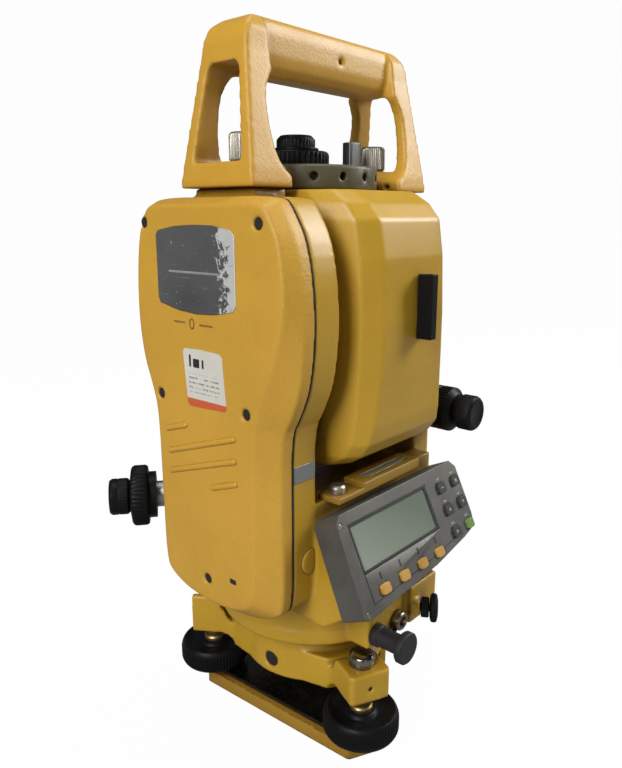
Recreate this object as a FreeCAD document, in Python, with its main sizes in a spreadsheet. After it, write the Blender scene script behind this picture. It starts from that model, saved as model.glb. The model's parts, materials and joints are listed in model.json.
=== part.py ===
import FreeCAD, Part
import Sketcher
import math
import os
import re

# Surveying total station on its tribrach. Millimetres.
# Origin: centre of the underside of the tribrach base plate. +Z is the vertical axis.
# The display faces -Y and the vertical circle cover faces -X.

doc = FreeCAD.newDocument("TotalStation")
sheet = doc.addObject("Spreadsheet::Sheet", "Dims")
V = FreeCAD.Vector
X_AXIS = V(1, 0, 0)
Y_AXIS = V(0, 1, 0)
Z_AXIS = V(0, 0, 1)
FEET = {"front": 240, "left": 120, "right": 0}

# ---------------------------------------------------------------- sizes
SIZES = {
    # tribrach
    "tribrach_turn": 4.5, "plate_reach": 61, "plate_corner": 8.5, "plate_thick": 7.5,
    "tripod_thread_r": 7.94, "spring_thick": 2, "spring_inset": 4, "foot_radius": 56.7,
    "spindle_r": 4, "spindle_gap": 0.05, "knob_r": 18.6, "knob_low": 14, "knob_top": 26,
    "arm_low": 35, "arm_top": 50, "arm_half": 10.5, "arm_reach": 66.5, "ring_low": 29,
    "ring_r": 38, "ring_top": 50, "ring_bore": 31, "cap_r": 6.3, "cap_top": 56,
    "wall_reach": 37.5, "peep_r": 4, "peep_level": 36.5, "plate_skew": -1.5, "plate_shift": 2.5,
    "lever_level": 43.5, "lever_turn": 36,
    "lock_outer": 30.95, "lock_inner": 22.05, "spigot_r": 22, "base_disc_r": 40,
    "base_disc_top": 56.5, "level_cup_r": 9.5, "level_reach": 53,
    # alidade
    "shaft_r": 15, "shaft_gap": 0.05, "drum_r": 50, "drum_low": 57, "drum_top": 84,
    "circle_r": 36, "stand_in": 46, "stand_out": 61, "deck_top": 129, "ledge_top": 135,
    "axis_level": 214, "stand_top": 265, "seat_top": 268.8, "bearing_r": 12, "axle_r": 8,
    "axle_gap": 0.05, "cover_out": 74.7, "cover_rim": 67, "pack_in": 61.4, "pack_rim": 72,
    "pack_out": 76, "pack_low": 107,
    # display
    "screen_turn": 64.2, "screen_front": -72.5, "screen_level": 93.9, "screen_half": 48.75,
    "screen_high": 44.1, "screen_deep": 14, "lcd_left": -43.1, "lcd_right": 18.5,
    "lcd_low": 16.2, "lcd_high": 38.7, "key_proud": 1.3, "key_deep": 3, "key_travel": 0.8,
    "key_gap": 0.15,
    # side controls
    "tangent_x": 59, "tangent_level": 157, "slow_x": 9.5, "slow_y": -58, "slow_level": 67.3,
    "slow_turn": -58, "plummet_turn": 142,
    "plummet_level": 121,
    # telescope
    "tube_half": 36.5, "boss_r": 42, "boss_out": 44.5, "sight_y": 12, "end_y": 7, "end_low": 268.3,
    "end_top": 279.3, "end_r": 35, "focus_top": 287, "focus_r": 16, "eye_r": 9.3,
    "eye_top": 294.5,
    # handle
    "foot_out": 62.9, "foot_in": 38.7, "grip_out": 55.3, "handle_top": 336, "grip_low": 314,
    "foot_deep": 22.1, "grip_deep": 13, "grip_half": 10, "screw_x": 46, "thumb_r": 6.2,
}

for row, (alias, value) in enumerate(SIZES.items(), start=1):
    sheet.set("A%d" % row, alias)
    sheet.set("B%d" % row, str(value))
    sheet.setAlias("B%d" % row, alias)
doc.recompute()


def spell(expression):
    """Turn bare size names into references to the sheet."""
    def swap(match):
        word = match.group(0)
        return "Dims." + word if word in SIZES else word
    return re.sub(r"[a-z_]+", swap, str(expression))


def number(expression):
    """The present value of an expression, in mm."""
    def swap(match):
        word = match.group(0)
        return str(float(SIZES[word])) if word in SIZES else word
    text = re.sub(r"[a-z_]+", swap, str(expression))
    value = sheet.evalExpression(text)
    return float(getattr(value, "Value", value))


def place(thing, at, axis=Z_AXIS, angle=0.0):
    """Put an object at three expressions, turned by a plain angle about an axis."""
    thing.Placement = FreeCAD.Placement(V(0, 0, 0), FreeCAD.Rotation(axis, angle))
    for letter, expression in zip("xyz", at):
        thing.setExpression(".Placement.Base." + letter, spell(expression))
    return thing


def place_along(thing, at, direction):
    """Put an object at three expressions with its own Z along a direction."""
    thing.Placement = FreeCAD.Placement(V(0, 0, 0), FreeCAD.Rotation(Z_AXIS, direction))
    for letter, expression in zip("xyz", at):
        thing.setExpression(".Placement.Base." + letter, spell(expression))
    return thing


def box(name, size, at):
    thing = doc.addObject("Part::Box", name)
    for side, expression in zip(("Length", "Width", "Height"), size):
        thing.setExpression(side, spell(expression))
    return place(thing, at)


def rod(name, radius, length, at, direction=Z_AXIS):
    thing = doc.addObject("Part::Cylinder", name)
    thing.setExpression("Radius", spell(radius))
    thing.setExpression("Height", spell(length))
    return place_along(thing, at, direction)


def cone(name, low_r, high_r, length, at, direction=Z_AXIS):
    thing = doc.addObject("Part::Cone", name)
    thing.setExpression("Radius1", spell(low_r))
    thing.setExpression("Radius2", spell(high_r))
    thing.setExpression("Height", spell(length))
    return place_along(thing, at, direction)


def fuse(name, pieces):
    thing = doc.addObject("Part::MultiFuse", name)
    thing.Shapes = pieces
    thing.Refine = True
    return thing


def common(name, pieces):
    thing = doc.addObject("Part::MultiCommon", name)
    thing.Shapes = pieces
    return thing


def cut(name, base, tools):
    thing = doc.addObject("Part::Cut", name)
    thing.Base = base
    thing.Tool = tools[0] if len(tools) == 1 else fuse(name + "_tools", tools)
    return thing


def draw(body, name, plane, points):
    """A closed outline on one of the body's own origin planes, every corner bound."""
    sketch = body.newObject("Sketcher::SketchObject", name)
    role = [part for part in body.Origin.OriginFeatures if part.Role == plane][0]
    sketch.AttachmentSupport = [(role, "")]
    sketch.MapMode = "FlatFace"
    spots = [(number(a), number(b)) for a, b in points]
    count = len(spots)
    for index in range(count):
        here = spots[index]
        there = spots[(index + 1) % count]
        sketch.addGeometry(Part.LineSegment(V(here[0], here[1], 0), V(there[0], there[1], 0)), False)
    for index in range(count):
        sketch.addConstraint(Sketcher.Constraint("Coincident", index, 2, (index + 1) % count, 1))
    for index, (across, along) in enumerate(points):
        for kind, expression, value in (("DistanceX", across, spots[index][0]),
                                        ("DistanceY", along, spots[index][1])):
            row = sketch.addConstraint(Sketcher.Constraint(kind, -1, 1, index, 1, value))
            sketch.setExpression("Constraints[%d]" % row, spell(expression))
    return sketch


def slab(name, plane, points, length, at=("0", "0", "0"), axis=Z_AXIS, angle=0.0):
    """Pad an outline off its plane: XY pads up, YZ pads to +X, XZ pads to -Y."""
    body = doc.addObject("PartDesign::Body", name)
    sketch = draw(body, name + "_outline", plane, points)
    pad = body.newObject("PartDesign::Pad", name + "_pad")
    pad.Profile = sketch
    pad.setExpression("Length", spell(length))
    body.Tip = pad
    sketch.Visibility = False
    return place(body, at, axis, angle)


def lathe(name, points, at=("0", "0", "0"), direction=Z_AXIS):
    """Revolve an outline of (radius, height) corners about the body's own Z."""
    body = doc.addObject("PartDesign::Body", name)
    sketch = draw(body, name + "_outline", "XZ_Plane", points)
    turn = body.newObject("PartDesign::Revolution", name + "_turn")
    turn.Profile = sketch
    turn.ReferenceAxis = (sketch, ["V_Axis"])
    turn.Angle = 360
    body.Tip = turn
    sketch.Visibility = False
    return place_along(body, at, direction)


def taper(name, low, high, length, at, mirror=False):
    """Loft between two outlines in YZ; the second stands `length` along +X (or -X)."""
    body = doc.addObject("PartDesign::Body", name)
    first = draw(body, name + "_low", "YZ_Plane", low)
    second = draw(body, name + "_high", "YZ_Plane", high)
    sign = "-1" if mirror else "1"
    second.setExpression(".AttachmentOffset.Base.z", spell("(%s) * %s" % (length, sign)))
    loft = body.newObject("PartDesign::AdditiveLoft", name + "_loft")
    loft.Profile = first
    loft.Sections = [second]
    loft.Ruled = True
    body.Tip = loft
    first.Visibility = False
    second.Visibility = False
    return place(body, at)


def soften(name, base, radius, keep):
    """Round the edges of a shape that pass a test on their two ends."""
    doc.recompute()
    chosen = []
    for index, edge in enumerate(base.Shape.Edges, start=1):
        ends = [vertex.Point for vertex in edge.Vertexes]
        if len(ends) == 2 and keep(ends[0], ends[1]):
            chosen.append((index, radius, radius))
    thing = doc.addObject("Part::Fillet", name)
    thing.Base = base
    thing.Edges = chosen
    return thing


PARTS = []


def part(name, thing, turned=False):
    """Register a finished sub-part under its file name."""
    thing.Label = name
    if turned:
        thing.Placement = FreeCAD.Placement(V(0, 0, 0), FreeCAD.Rotation(Z_AXIS, 1))
        thing.setExpression(".Placement.Rotation.Angle", spell("tribrach_turn"))
    PARTS.append(thing)
    return thing


def upright(a, b):
    return abs(a.x - b.x) < 0.01 and abs(a.y - b.y) < 0.01


def polar(radius, degrees):
    """Two expressions for a point at a radius and a plain angle."""
    return ("(%s) * %.6f" % (radius, math.cos(math.radians(degrees))),
            "(%s) * %.6f" % (radius, math.sin(math.radians(degrees))))


def heading(degrees):
    return V(math.cos(math.radians(degrees)), math.sin(math.radians(degrees)), 0)


# ---------------------------------------------------------------- tribrach
def three_sided(reach, corner):
    """Outline of a triangular plate with cut corners over the three foot screws."""
    points = []
    for turn in (SIZES["plate_skew"], 120 + SIZES["plate_skew"], 240 + SIZES["plate_skew"]):
        c = math.cos(math.radians(turn))
        s = math.sin(math.radians(turn))
        for side in (-1, 1):
            points.append(("plate_shift + (%s) * %.6f - (%s) * %.6f" % (reach, c, corner, side * s),
                           "(%s) * %.6f + (%s) * %.6f" % (reach, s, corner, side * c)))
    return points


def foot_rods(name, radius, low, length):
    rods = []
    for foot, turn in FEET.items():
        a, b = polar("foot_radius", turn)
        rods.append(rod(name + "_" + foot, radius, length, (a, b, low)))
    return rods


def make_base_plate():
    plate = slab("plate_solid", "XY_Plane", three_sided("plate_reach", "plate_corner"), "plate_thick")
    rounded = soften("plate_rounded", plate, 2.5, upright)
    tools = [rod("tripod_hole", "tripod_thread_r", "plate_thick + 2", ("0", "0", "-1"))]
    tools += foot_rods("foot_socket", "spindle_r + spindle_gap", "3", "plate_thick")
    part("base_plate", cut("base_plate", rounded, tools), True)


def make_spring_plate():
    plate = slab("spring_solid", "XY_Plane",
                 three_sided("plate_reach - spring_inset", "plate_corner - 1"),
                 "spring_thick", ("0", "0", "plate_thick"))
    tools = [rod("spring_hole", "tripod_thread_r + 4", "spring_thick + 2", ("0", "0", "plate_thick - 1"))]
    tools += foot_rods("spring_slot", "spindle_r + 0.3", "plate_thick - 1", "spring_thick + 2")
    part("spring_plate", cut("spring_plate", plate, tools), True)


def make_tribrach_body():
    plan = []
    for turn in (0, 120, 240):
        c = math.cos(math.radians(turn))
        s = math.sin(math.radians(turn))
        for reach, across in (("wall_reach", "-30"), ("44", "-arm_half"), ("arm_reach", "-arm_half"),
                              ("arm_reach", "arm_half"), ("44", "arm_half"), ("wall_reach", "30")):
            if across in ("-30", "30"):
                reach = "16"
                across = "-34" if across == "-30" else "34"
            points = ("(%s) * %.6f - (%s) * %.6f" % (reach, c, across, s),
                      "(%s) * %.6f + (%s) * %.6f" % (reach, s, across, c))
            plan.append(points)
    outline = slab("arms_plan", "XY_Plane", plan, "arm_top - ring_low", ("0", "0", "ring_low"))
    rounded = soften("arms_plan_rounded", outline, 9, lambda a, b: upright(a, b) and
                     40 < math.hypot(a.x, a.y) < 50)
    rounded = soften("arms_plan_soft", rounded, 2.5, lambda a, b: upright(a, b) and
                     math.hypot(a.x, a.y) > 60)
    side = [("0", "ring_low"), ("38", "ring_low"), ("42", "ring_low + 1.5"), ("46", "ring_low + 4.5"),
            ("50", "arm_low"), ("arm_reach + 1", "arm_low"), ("arm_reach + 1", "arm_top"),
            ("50", "arm_top"), ("48", "arm_top - 2"), ("46.4", "arm_top - 6"), ("43.5", "arm_top - 8.5"),
            ("39", "arm_top - 9.2"), ("0", "arm_top - 9.2")]
    arms = []
    for foot, turn in FEET.items():
        arms.append(slab("arm_side_" + foot, "XZ_Plane", side, "60",
                         polar("30", turn + 90) + ("0",), Z_AXIS, turn))
    arm_set = fuse("arm_sides", arms)
    hub = rod("arm_hub", "44", "17", ("0", "0", "ring_low"))
    shaped = common("arms_shaped", [rounded, fuse("arm_stock", [arm_set, hub])])
    ring = cone("ring_wall", "ring_r", "ring_r - 1", "ring_top - ring_low", ("0", "0", "ring_low"))
    direction = heading(SIZES["lever_turn"])
    boss = rod("lever_boss", "6.3", "24", polar("33", SIZES["lever_turn"]) + ("lever_level",), direction)
    cup_seat_x, cup_seat_y = polar("level_reach - 14", 60)
    seat = rod("cup_arm", "7", "4", (cup_seat_x, cup_seat_y, "36"))
    pad = rod("cup_pad", "level_cup_r", "4", polar("level_reach", 60) + ("36",))
    bridge = box("cup_bridge", ("24", "12", "4"), ("0", "0", "0"))
    place(bridge, ("30 * 0.5 + 6 * 0.866025", "30 * 0.866025 - 6 * 0.5", "36"), Z_AXIS, 60)
    wall = box("arm_wall", ("16", "3.8", "21"), ("0", "0", "0"))
    place(wall, ("50 * -0.5 - 6.7 * 0.866025", "50 * 0.866025 - 6.7 * 0.5", "arm_low"), Z_AXIS, 120)
    stock = fuse("tribrach_stock", [shaped, ring, boss, seat, pad, bridge, wall])
    tools = [rod("ring_hole", "ring_bore", "ring_top", ("0", "0", "ring_low - 5"))]
    tools += foot_rods("arm_thread", "spindle_r + spindle_gap", "arm_low - 5", "arm_top")
    for turn in (0, 120, 240):
        tools.append(rod("end_hole_%d" % turn, "1.2", "4", polar("arm_reach - 3", turn) + ("41.7",),
                         heading(turn)))
    tools.append(rod("peep_hole", "peep_r", "16", polar("30", 180) + ("peep_level",), heading(180)))
    tools.append(rod("lever_bore", "3.05", "26", polar("32", SIZES["lever_turn"]) + ("lever_level",), direction))
    part("tribrach_body", cut("tribrach_body", stock, tools), True)
    caps = []
    for foot, turn in FEET.items():
        caps.append(lathe("cap_" + foot, [("0", "arm_top"), ("cap_r", "arm_top"), ("cap_r", "cap_top - 1.8"),
                                          ("cap_r - 0.5", "cap_top - 0.8"), ("cap_r - 1.6", "cap_top - 0.2"),
                                          ("cap_r - 3", "cap_top"), ("0", "cap_top")],
                          polar("foot_radius", turn) + ("0",)))
    group = doc.addObject("Part::Compound", "levelling_caps")
    group.Links = caps
    part("levelling_caps", group, True)


def make_circular_level():
    at = polar("level_reach", 60) + ("0",)
    cup = lathe("level_cup", [("0", "40"), ("level_cup_r", "40"), ("level_cup_r", "47"),
                              ("level_cup_r - 1", "48"), ("level_cup_r - 2.2", "48"),
                              ("level_cup_r - 2.2", "42"), ("0", "42")], at)
    cup_group = doc.addObject("Part::Compound", "circular_level_cup")
    cup_group.Links = [cup]
    part("circular_level_cup", cup_group, True)
    glass = lathe("level_glass", [("0", "42"), ("level_cup_r - 2.25", "42"), ("level_cup_r - 2.25", "46.6"),
                                  ("level_cup_r - 4", "47.4"), ("0", "47.7")], at)
    glass_group = doc.addObject("Part::Compound", "circular_level_glass")
    glass_group.Links = [glass]
    part("circular_level_glass", glass_group, True)


def make_foot_screws():
    for foot, turn in FEET.items():
        at = polar("foot_radius", turn + SIZES["tribrach_turn"]) + ("0",)
        spindle = lathe("levelling_spindle_" + foot,
                        [("0", "3.2"), ("spindle_r - 1", "3.2"), ("spindle_r", "4.2"),
                         ("spindle_r", "knob_top"), ("spindle_r + 1.6", "knob_top"),
                         ("spindle_r + 1.6", "knob_top + 1.5"), ("spindle_r + 0.9", "knob_top + 2.2"),
                         ("spindle_r + 0.9", "knob_top + 3.4"), ("spindle_r + 1.6", "knob_top + 4"),
                         ("spindle_r + 1.6", "arm_low - 0.4"), ("spindle_r", "arm_low - 0.4"),
                         ("spindle_r", "arm_top - 2.5"), ("spindle_r - 1", "arm_top - 1.5"),
                         ("0", "arm_top - 1.5")], at)
        part("levelling_spindle_" + foot, spindle)
        knob = lathe("levelling_knob_" + foot,
                     [("spindle_r + 0.02", "knob_low - 2"), ("8", "knob_low - 2"), ("9", "knob_low"),
                      ("knob_r - 2", "knob_low"), ("knob_r - 0.6", "knob_low + 0.8"),
                      ("knob_r", "knob_low + 2"), ("knob_r", "knob_top - 3.2"),
                      ("knob_r - 0.5", "knob_top - 1.2"), ("knob_r - 1.8", "knob_top"),
                      ("knob_r - 3.4", "knob_top"), ("knob_r - 5", "knob_top - 1.4"),
                      ("10", "knob_top - 2.2"), ("8", "knob_top - 1.6"), ("7", "knob_top"),
                      ("spindle_r + 0.02", "knob_top")], at)
        part("levelling_knob_" + foot, knob)


def make_lock():
    ring = lathe("tribrach_lock_ring", [("lock_inner", "40"), ("lock_outer", "40"),
                                        ("lock_outer", "47"), ("lock_inner", "47")])
    part("tribrach_lock_ring", ring)
    turn = SIZES["lever_turn"] + SIZES["tribrach_turn"]
    stem = rod("lever_stem", "3", "23", polar("34.4", turn) + ("lever_level",), heading(turn))
    disc = rod("lever_disc", "6.6", "4.2", polar("57.4", turn) + ("lever_level",), heading(turn))
    blade = slab("lever_blade", "YZ_Plane",
                 [("-6.4", "1.5"), ("-6.4", "-3"), ("-2", "-10.5"), ("2", "-10.5"), ("6.4", "-3"),
                  ("6.4", "1.5")], "3.2", polar("61", turn) + ("lever_level",), Z_AXIS, turn)
    grip = soften("lever_blade_soft", blade, 1.2, lambda a, b: (a - b).cross(heading(turn)).Length < 0.01)
    part("tribrach_lock_lever", fuse("tribrach_lock_lever", [stem, disc, grip]))


def make_instrument_base():
    base = lathe("instrument_base",
                 [("shaft_r + shaft_gap", "38"), ("spigot_r", "38"), ("spigot_r", "ring_top"),
                  ("base_disc_r - 1", "ring_top"), ("base_disc_r", "ring_top + 1"),
                  ("base_disc_r", "base_disc_top - 1"), ("base_disc_r - 1", "base_disc_top"),
                  ("shaft_r + shaft_gap", "base_disc_top")])
    part("instrument_base", base)
    disc = lathe("horizontal_circle",
                 [("shaft_r + 4", "base_disc_top"), ("circle_r", "base_disc_top"),
                  ("circle_r", "base_disc_top + 2"), ("shaft_r + 4", "base_disc_top + 2")])
    part("horizontal_circle", disc)


# ---------------------------------------------------------------- alidade
def flowing(points, cut):
    """Turn the corners of an outline into short curves by cutting them twice, at most `cut` mm long."""
    exact = [(number(y), number(z)) for y, z in points]
    for longest in (cut, cut * 0.4):
        cornered = []
        for (y0, z0), (y1, z1) in zip(exact, exact[1:] + exact[:1]):
            share = min(0.25, longest / math.hypot(y1 - y0, z1 - z0))
            cornered.append((y0 + (y1 - y0) * share, z0 + (z1 - z0) * share))
            cornered.append((y1 - (y1 - y0) * share, z1 - (z1 - z0) * share))
        exact = cornered
    return [("%.3f" % y, "stand_top - %.3f" % (SIZES["stand_top"] - z) if z > 200 else "%.3f" % z) for y, z in exact]


FLANK = [("-42", "261.4"), ("-38", "stand_top"), ("32", "stand_top"), ("36", "261.4"), ("44.6", "246.7"),
         ("48", "219"), ("45.7", "192.6"), ("40", "178.7"), ("35", "170"), ("35", "94"), ("31", "87"),
         ("13", "81"), ("-19", "81"), ("-37", "87"), ("-41", "94"), ("-41", "170"), ("-46", "178.7"),
         ("-51.7", "192.6"), ("-54", "219"), ("-50.6", "246.7")]
CREST = [("-41.5", "258.8"), ("-37.5", "262"), ("28", "262"), ("32.5", "259.5"), ("38.3", "247"),
         ("41", "219"), ("39", "197"), ("33", "181.8"), ("30", "170.5"), ("29.5", "98"), ("26", "91.5"),
         ("11", "86"), ("-13", "86"), ("-26.5", "91.5"), ("-30", "98"), ("-31.5", "170"),
         ("-34.5", "182"), ("-42", "198"), ("-49.5", "222"), ("-47.8", "246.8")]
FAR_FLANK = [("-30.5", "257"), ("-25", "262"), ("-19", "stand_top"), ("26", "stand_top"), ("32", "261.4"),
             ("37", "246.7"), ("39", "219"), ("37", "192.6"), ("34", "178.7"), ("32", "170"), ("32", "94"),
             ("28", "87"), ("13", "81"), ("-19", "81"), ("-27", "87"), ("-31", "94"), ("-31", "170"),
             ("-32", "192.6"), ("-32.5", "219"), ("-32", "246.7")]
PACK_FLANK = [("-14", "262"), ("22", "262"), ("28", "257"), ("31", "246"), ("31", "pack_low + 7"),
              ("25", "pack_low"), ("-14", "pack_low"), ("-20", "pack_low + 6"), ("-20", "246"),
              ("-18.5", "256")]
PACK_CREST = [("-12", "259"), ("20", "259"), ("24.5", "255"), ("27", "245"), ("27", "pack_low + 9"),
              ("22", "pack_low + 4"), ("-11", "pack_low + 4"), ("-16", "pack_low + 9"), ("-16", "245"),
              ("-15", "254")]
FLANK, CREST = flowing(FLANK, 9), flowing(CREST, 9)
FAR_FLANK = flowing(FAR_FLANK, 9)
PACK_FLANK, PACK_CREST = flowing(PACK_FLANK, 4), flowing(PACK_CREST, 4)
SCREW_SPOTS = [("-36.3", "254.7"), ("34", "254.7"), ("-27.6", "179.3"), ("27.6", "179.3"), ("0", "96.5")]
THUMB_SPOTS = {"left": "-screw_x", "right": "screw_x"}


def along_way(out):
    """A spot on the axis of the horizontal slow motion screw, `out` mm off its block."""
    turn = math.radians(SIZES["slow_turn"])
    return ("slow_x + (%s) * %.6f" % (out, math.cos(turn)), "slow_y + (%s) * %.6f" % (out, math.sin(turn)),
            "slow_level")


def make_alidade_frame():
    drum = lathe("drum", [("42", "drum_low"), ("drum_r - 1", "drum_low"), ("drum_r", "drum_low + 1"),
                          ("drum_r", "drum_low + 7"), ("drum_r - 1", "drum_low + 8"),
                          ("drum_r - 1", "drum_top + 4"), ("0", "drum_top + 4"), ("0", "76"), ("42", "76")])
    left = slab("stand_left", "YZ_Plane", FLANK, "stand_out - stand_in", ("-stand_out", "0", "0"))
    right = slab("stand_right", "YZ_Plane", FAR_FLANK, "stand_out - stand_in", ("stand_in", "0", "0"))
    deck = box("deck", ("stand_in * 2 + 2", "75.5", "deck_top - 78"), ("-stand_in - 1", "-40.5", "78"))
    front = [("-30", "78"), ("-46", "77"), ("-59.9", "87.75"), ("-40.7", "127.45"), ("-40.7", "ledge_top"),
             ("-30", "ledge_top")]
    brow = slab("brow", "YZ_Plane", front, "stand_in * 2 + 2", ("-stand_in - 1", "0", "0"))
    pocket_boss = rod("tangent_boss", "9.5", "14", ("tangent_x", "-34.4", "tangent_level"), Y_AXIS)
    tangent_web = box("tangent_web", ("10", "12", "18"), ("tangent_x - 10", "-33", "tangent_level - 9"))
    slow_way = heading(SIZES["slow_turn"])
    slow_block = box("slow_block", ("25", "-slow_y - 36", "20.5"), ("6", "slow_y", "58"))
    soft_block = soften("slow_block_soft", slow_block, 2.5, lambda a, b: min(a.y, b.y) < -57 and
                        (min(a.x, b.x) > 20 or max(a.z, b.z) < 59))
    slow_boss = rod("slow_boss", "4.6", "5", along_way("-2"), slow_way)
    plug_block = box("plug_block", ("35", "19", "20"), ("-25", "-55", "58"))
    soft_plug = soften("plug_block_soft", plug_block, 1.5, lambda a, b: min(a.y, b.y) < -54)
    plum = 180 - SIZES["plummet_turn"]
    plummet_way = heading(SIZES["plummet_turn"])
    plummet_boss = cone("plummet_boss", "13", "8", "36", polar("40", 180 - plum) + ("plummet_level",),
                        plummet_way)
    back_web = box("back_web", ("22", "12", "30"), ("-57", "30", "106"))
    seats = []
    for side, x in THUMB_SPOTS.items():
        start = "-stand_out + 3" if side == "left" else "foot_in + 0.6"
        seats.append(box("seat_" + side, ("stand_out - 3 - foot_in - 0.6", "36", "seat_top - 260.5"),
                         (start, "-18", "260.5")))
    bosses = [rod("bearing_boss_left", "20", "2", ("-stand_in - 1", "0", "axis_level"), X_AXIS)]
    stock = fuse("alidade_stock", [drum, left, right, deck, brow, pocket_boss, tangent_web, soft_block,
                                   slow_boss, soft_plug, plummet_boss, back_web] + seats + bosses)
    tools = [rod("trunnion_hole", "bearing_r", "140", ("-70", "0", "axis_level"), X_AXIS)]
    for side, x in THUMB_SPOTS.items():
        tools.append(rod("seat_tap_" + side, "3.05", "12", (x, "0", "258")))
    tools.append(box("left_pocket", ("11", "60", "60"), ("-stand_out - 0.5", "-30", "axis_level - 30")))
    tools.append(box("left_channel", ("9", "40", "62"), ("-stand_out - 0.5", "-20", "108")))
    tools.append(box("right_pocket", ("9", "40", "90"), ("stand_out - 8.5", "-15", "axis_level - 45")))
    tools.append(rod("tangent_bore", "3.05", "14.5", ("tangent_x", "-35", "tangent_level"), Y_AXIS))
    tools.append(box("tangent_relief", ("26", "14", "26"), ("tangent_x - 13", "-48.4", "tangent_level - 13")))
    tools.append(rod("slow_bore", "2.05", "6.2", along_way("-2.2"), slow_way))
    tools.append(rod("plummet_bore", "6.5", "60", polar("24", 180 - plum) + ("plummet_level",),
                     plummet_way))
    tools.append(rod("flange_tap", "shaft_r", "8", ("0", "0", "74")))
    tools.append(rod("serial_bore", "4", "9", ("-2.2", "-56", "64.5"), Y_AXIS))
    tools.append(rod("power_bore", "3.6", "9", ("-19.5", "-56", "64.8"), Y_AXIS))
    for index, (y, z) in enumerate(SCREW_SPOTS):
        tools.append(rod("case_tap_%d" % index, "1.5", "8", ("-stand_out - 0.5", y, z), X_AXIS))
    tools.append(box("board_slot", ("40", "30", "10"), ("-20", "-58", "112")))
    part("alidade_frame", cut("alidade_frame", stock, tools))


def make_vertical_shaft():
    shaft = lathe("vertical_axis_shaft",
                  [("5", "39"), ("shaft_r - 1", "39"), ("shaft_r", "40"), ("shaft_r", "71"), ("26", "71"),
                   ("26", "76"), ("shaft_r - 0.05", "76"), ("shaft_r - 0.05", "81"), ("5", "81")])
    part("vertical_axis_shaft", shaft)


def make_side_cover():
    rim = slab("cover_rim_slab", "YZ_Plane", FLANK, "cover_rim - stand_out", ("-cover_rim", "0", "0"))
    crown = taper("cover_crown", FLANK, CREST, "cover_out - cover_rim", ("-cover_rim", "0", "0"), True)
    stock = fuse("cover_stock", [rim, crown])
    inside = [("-38", "257"), ("28", "257"), ("36", "243"), ("38.5", "219"), ("36.5", "199"), ("29", "181"),
              ("27", "98"), ("9", "89"), ("-11", "89"), ("-27", "98"), ("-28", "176"),
              ("-38", "196"), ("-46.5", "219"), ("-44.5", "243")]
    hollow = slab("cover_hollow", "YZ_Plane", inside, "cover_rim - stand_out + 4",
                  ("-cover_rim - 3.5", "0", "0"))
    posts = []
    for index, (y, z) in enumerate(SCREW_SPOTS):
        posts.append(rod("cover_post_%d" % index, "4.2", "cover_out - stand_out - 2",
                         ("-cover_out + 2", y, z), X_AXIS))
    shell = fuse("cover_shell", [cut("cover_empty", stock, [hollow])] + posts)
    tools = []
    for index, (y, z) in enumerate(SCREW_SPOTS):
        tools.append(rod("cover_clear_%d" % index, "1.6", "20", ("-cover_out - 1", y, z), X_AXIS))
        tools.append(rod("cover_sink_%d" % index, "2.4", "6", ("-cover_out - 1", y, z), X_AXIS))
    tools.append(rod("cover_notch", "8.6", "70", polar("50", SIZES["plummet_turn"]) + ("plummet_level",),
                     heading(SIZES["plummet_turn"])))
    part("side_cover", cut("side_cover", shell, tools))
    screws = []
    for index, (y, z) in enumerate(SCREW_SPOTS):
        shank = rod("case_shank_%d" % index, "1.45", "15", ("-cover_out + 3", y, z), X_AXIS)
        head = rod("case_head_%d" % index, "2.3", "2", ("-cover_out + 3", y, z), X_AXIS)
        screws.append(fuse("case_screw_%d" % index, [shank, head]))
    group = doc.addObject("Part::Compound", "case_screws")
    group.Links = screws
    part("case_screws", group)
    plate = slab("name_plate", "YZ_Plane",
                 [("-22", "220.4"), ("-11", "218.4"), ("0", "217.8"), ("12", "218.6"), ("24", "221"),
                  ("25", "223.5"), ("25", "249.5"), ("23.5", "251.6"), ("12", "253.4"), ("0", "254"),
                  ("-11", "253.8"), ("-22", "252.2"), ("-24", "249.5"), ("-24", "223")],
                 "0.4", ("-cover_out - 0.4", "0", "0"))
    part("name_plate", plate)


def make_plate_level():
    holder = box("level_block", ("45", "12", "5"), ("-22", "-49", "ledge_top"))
    trough = rod("level_trough", "2.65", "36", ("-17", "-43", "ledge_top + 2.8"), X_AXIS)
    window = box("level_window", ("29", "4.4", "4"), ("-13.5", "-45.2", "ledge_top + 2.8"))
    ear = box("level_ear", ("19", "12", "2.6"), ("-40", "-49", "ledge_top"))
    ear_hole = rod("level_ear_hole", "2.05", "7", ("-34", "-43", "ledge_top - 1"))
    stock = fuse("level_stock", [holder, ear])
    part("plate_level_holder", cut("plate_level_holder", stock, [trough, window, ear_hole]))
    vial = rod("plate_level_vial", "2.6", "35.8", ("-16.9", "-43", "ledge_top + 2.8"), X_AXIS)
    part("plate_level_vial", vial)
    screw = lathe("plate_level_screw",
                  [("0", "ledge_top"), ("2", "ledge_top"), ("2", "ledge_top + 2.6"), ("3.6", "ledge_top + 2.6"),
                   ("3.6", "ledge_top + 5.6"), ("2.6", "ledge_top + 6.6"), ("0", "ledge_top + 6.6")],
                  ("-34", "-43", "0"))
    part("plate_level_screw", screw)


def make_bearings():
    rings = []
    for side, start in (("left", "-stand_out + 11"), ("right", "stand_in")):
        outer = rod("bearing_outer_" + side, "bearing_r", "6", (start, "0", "axis_level"), X_AXIS)
        if side == "left":
            place_along(outer, ("-stand_in - 5", "0", "axis_level"), X_AXIS)
        inner = rod("bearing_inner_" + side, "axle_r + axle_gap", "60",
                    ("-80" if side == "left" else "30", "0", "axis_level"), X_AXIS)
        rings.append(cut("bearing_" + side, outer, [inner]))
    group = doc.addObject("Part::Compound", "trunnion_bearings")
    group.Links = rings
    part("trunnion_bearings", group)


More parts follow.
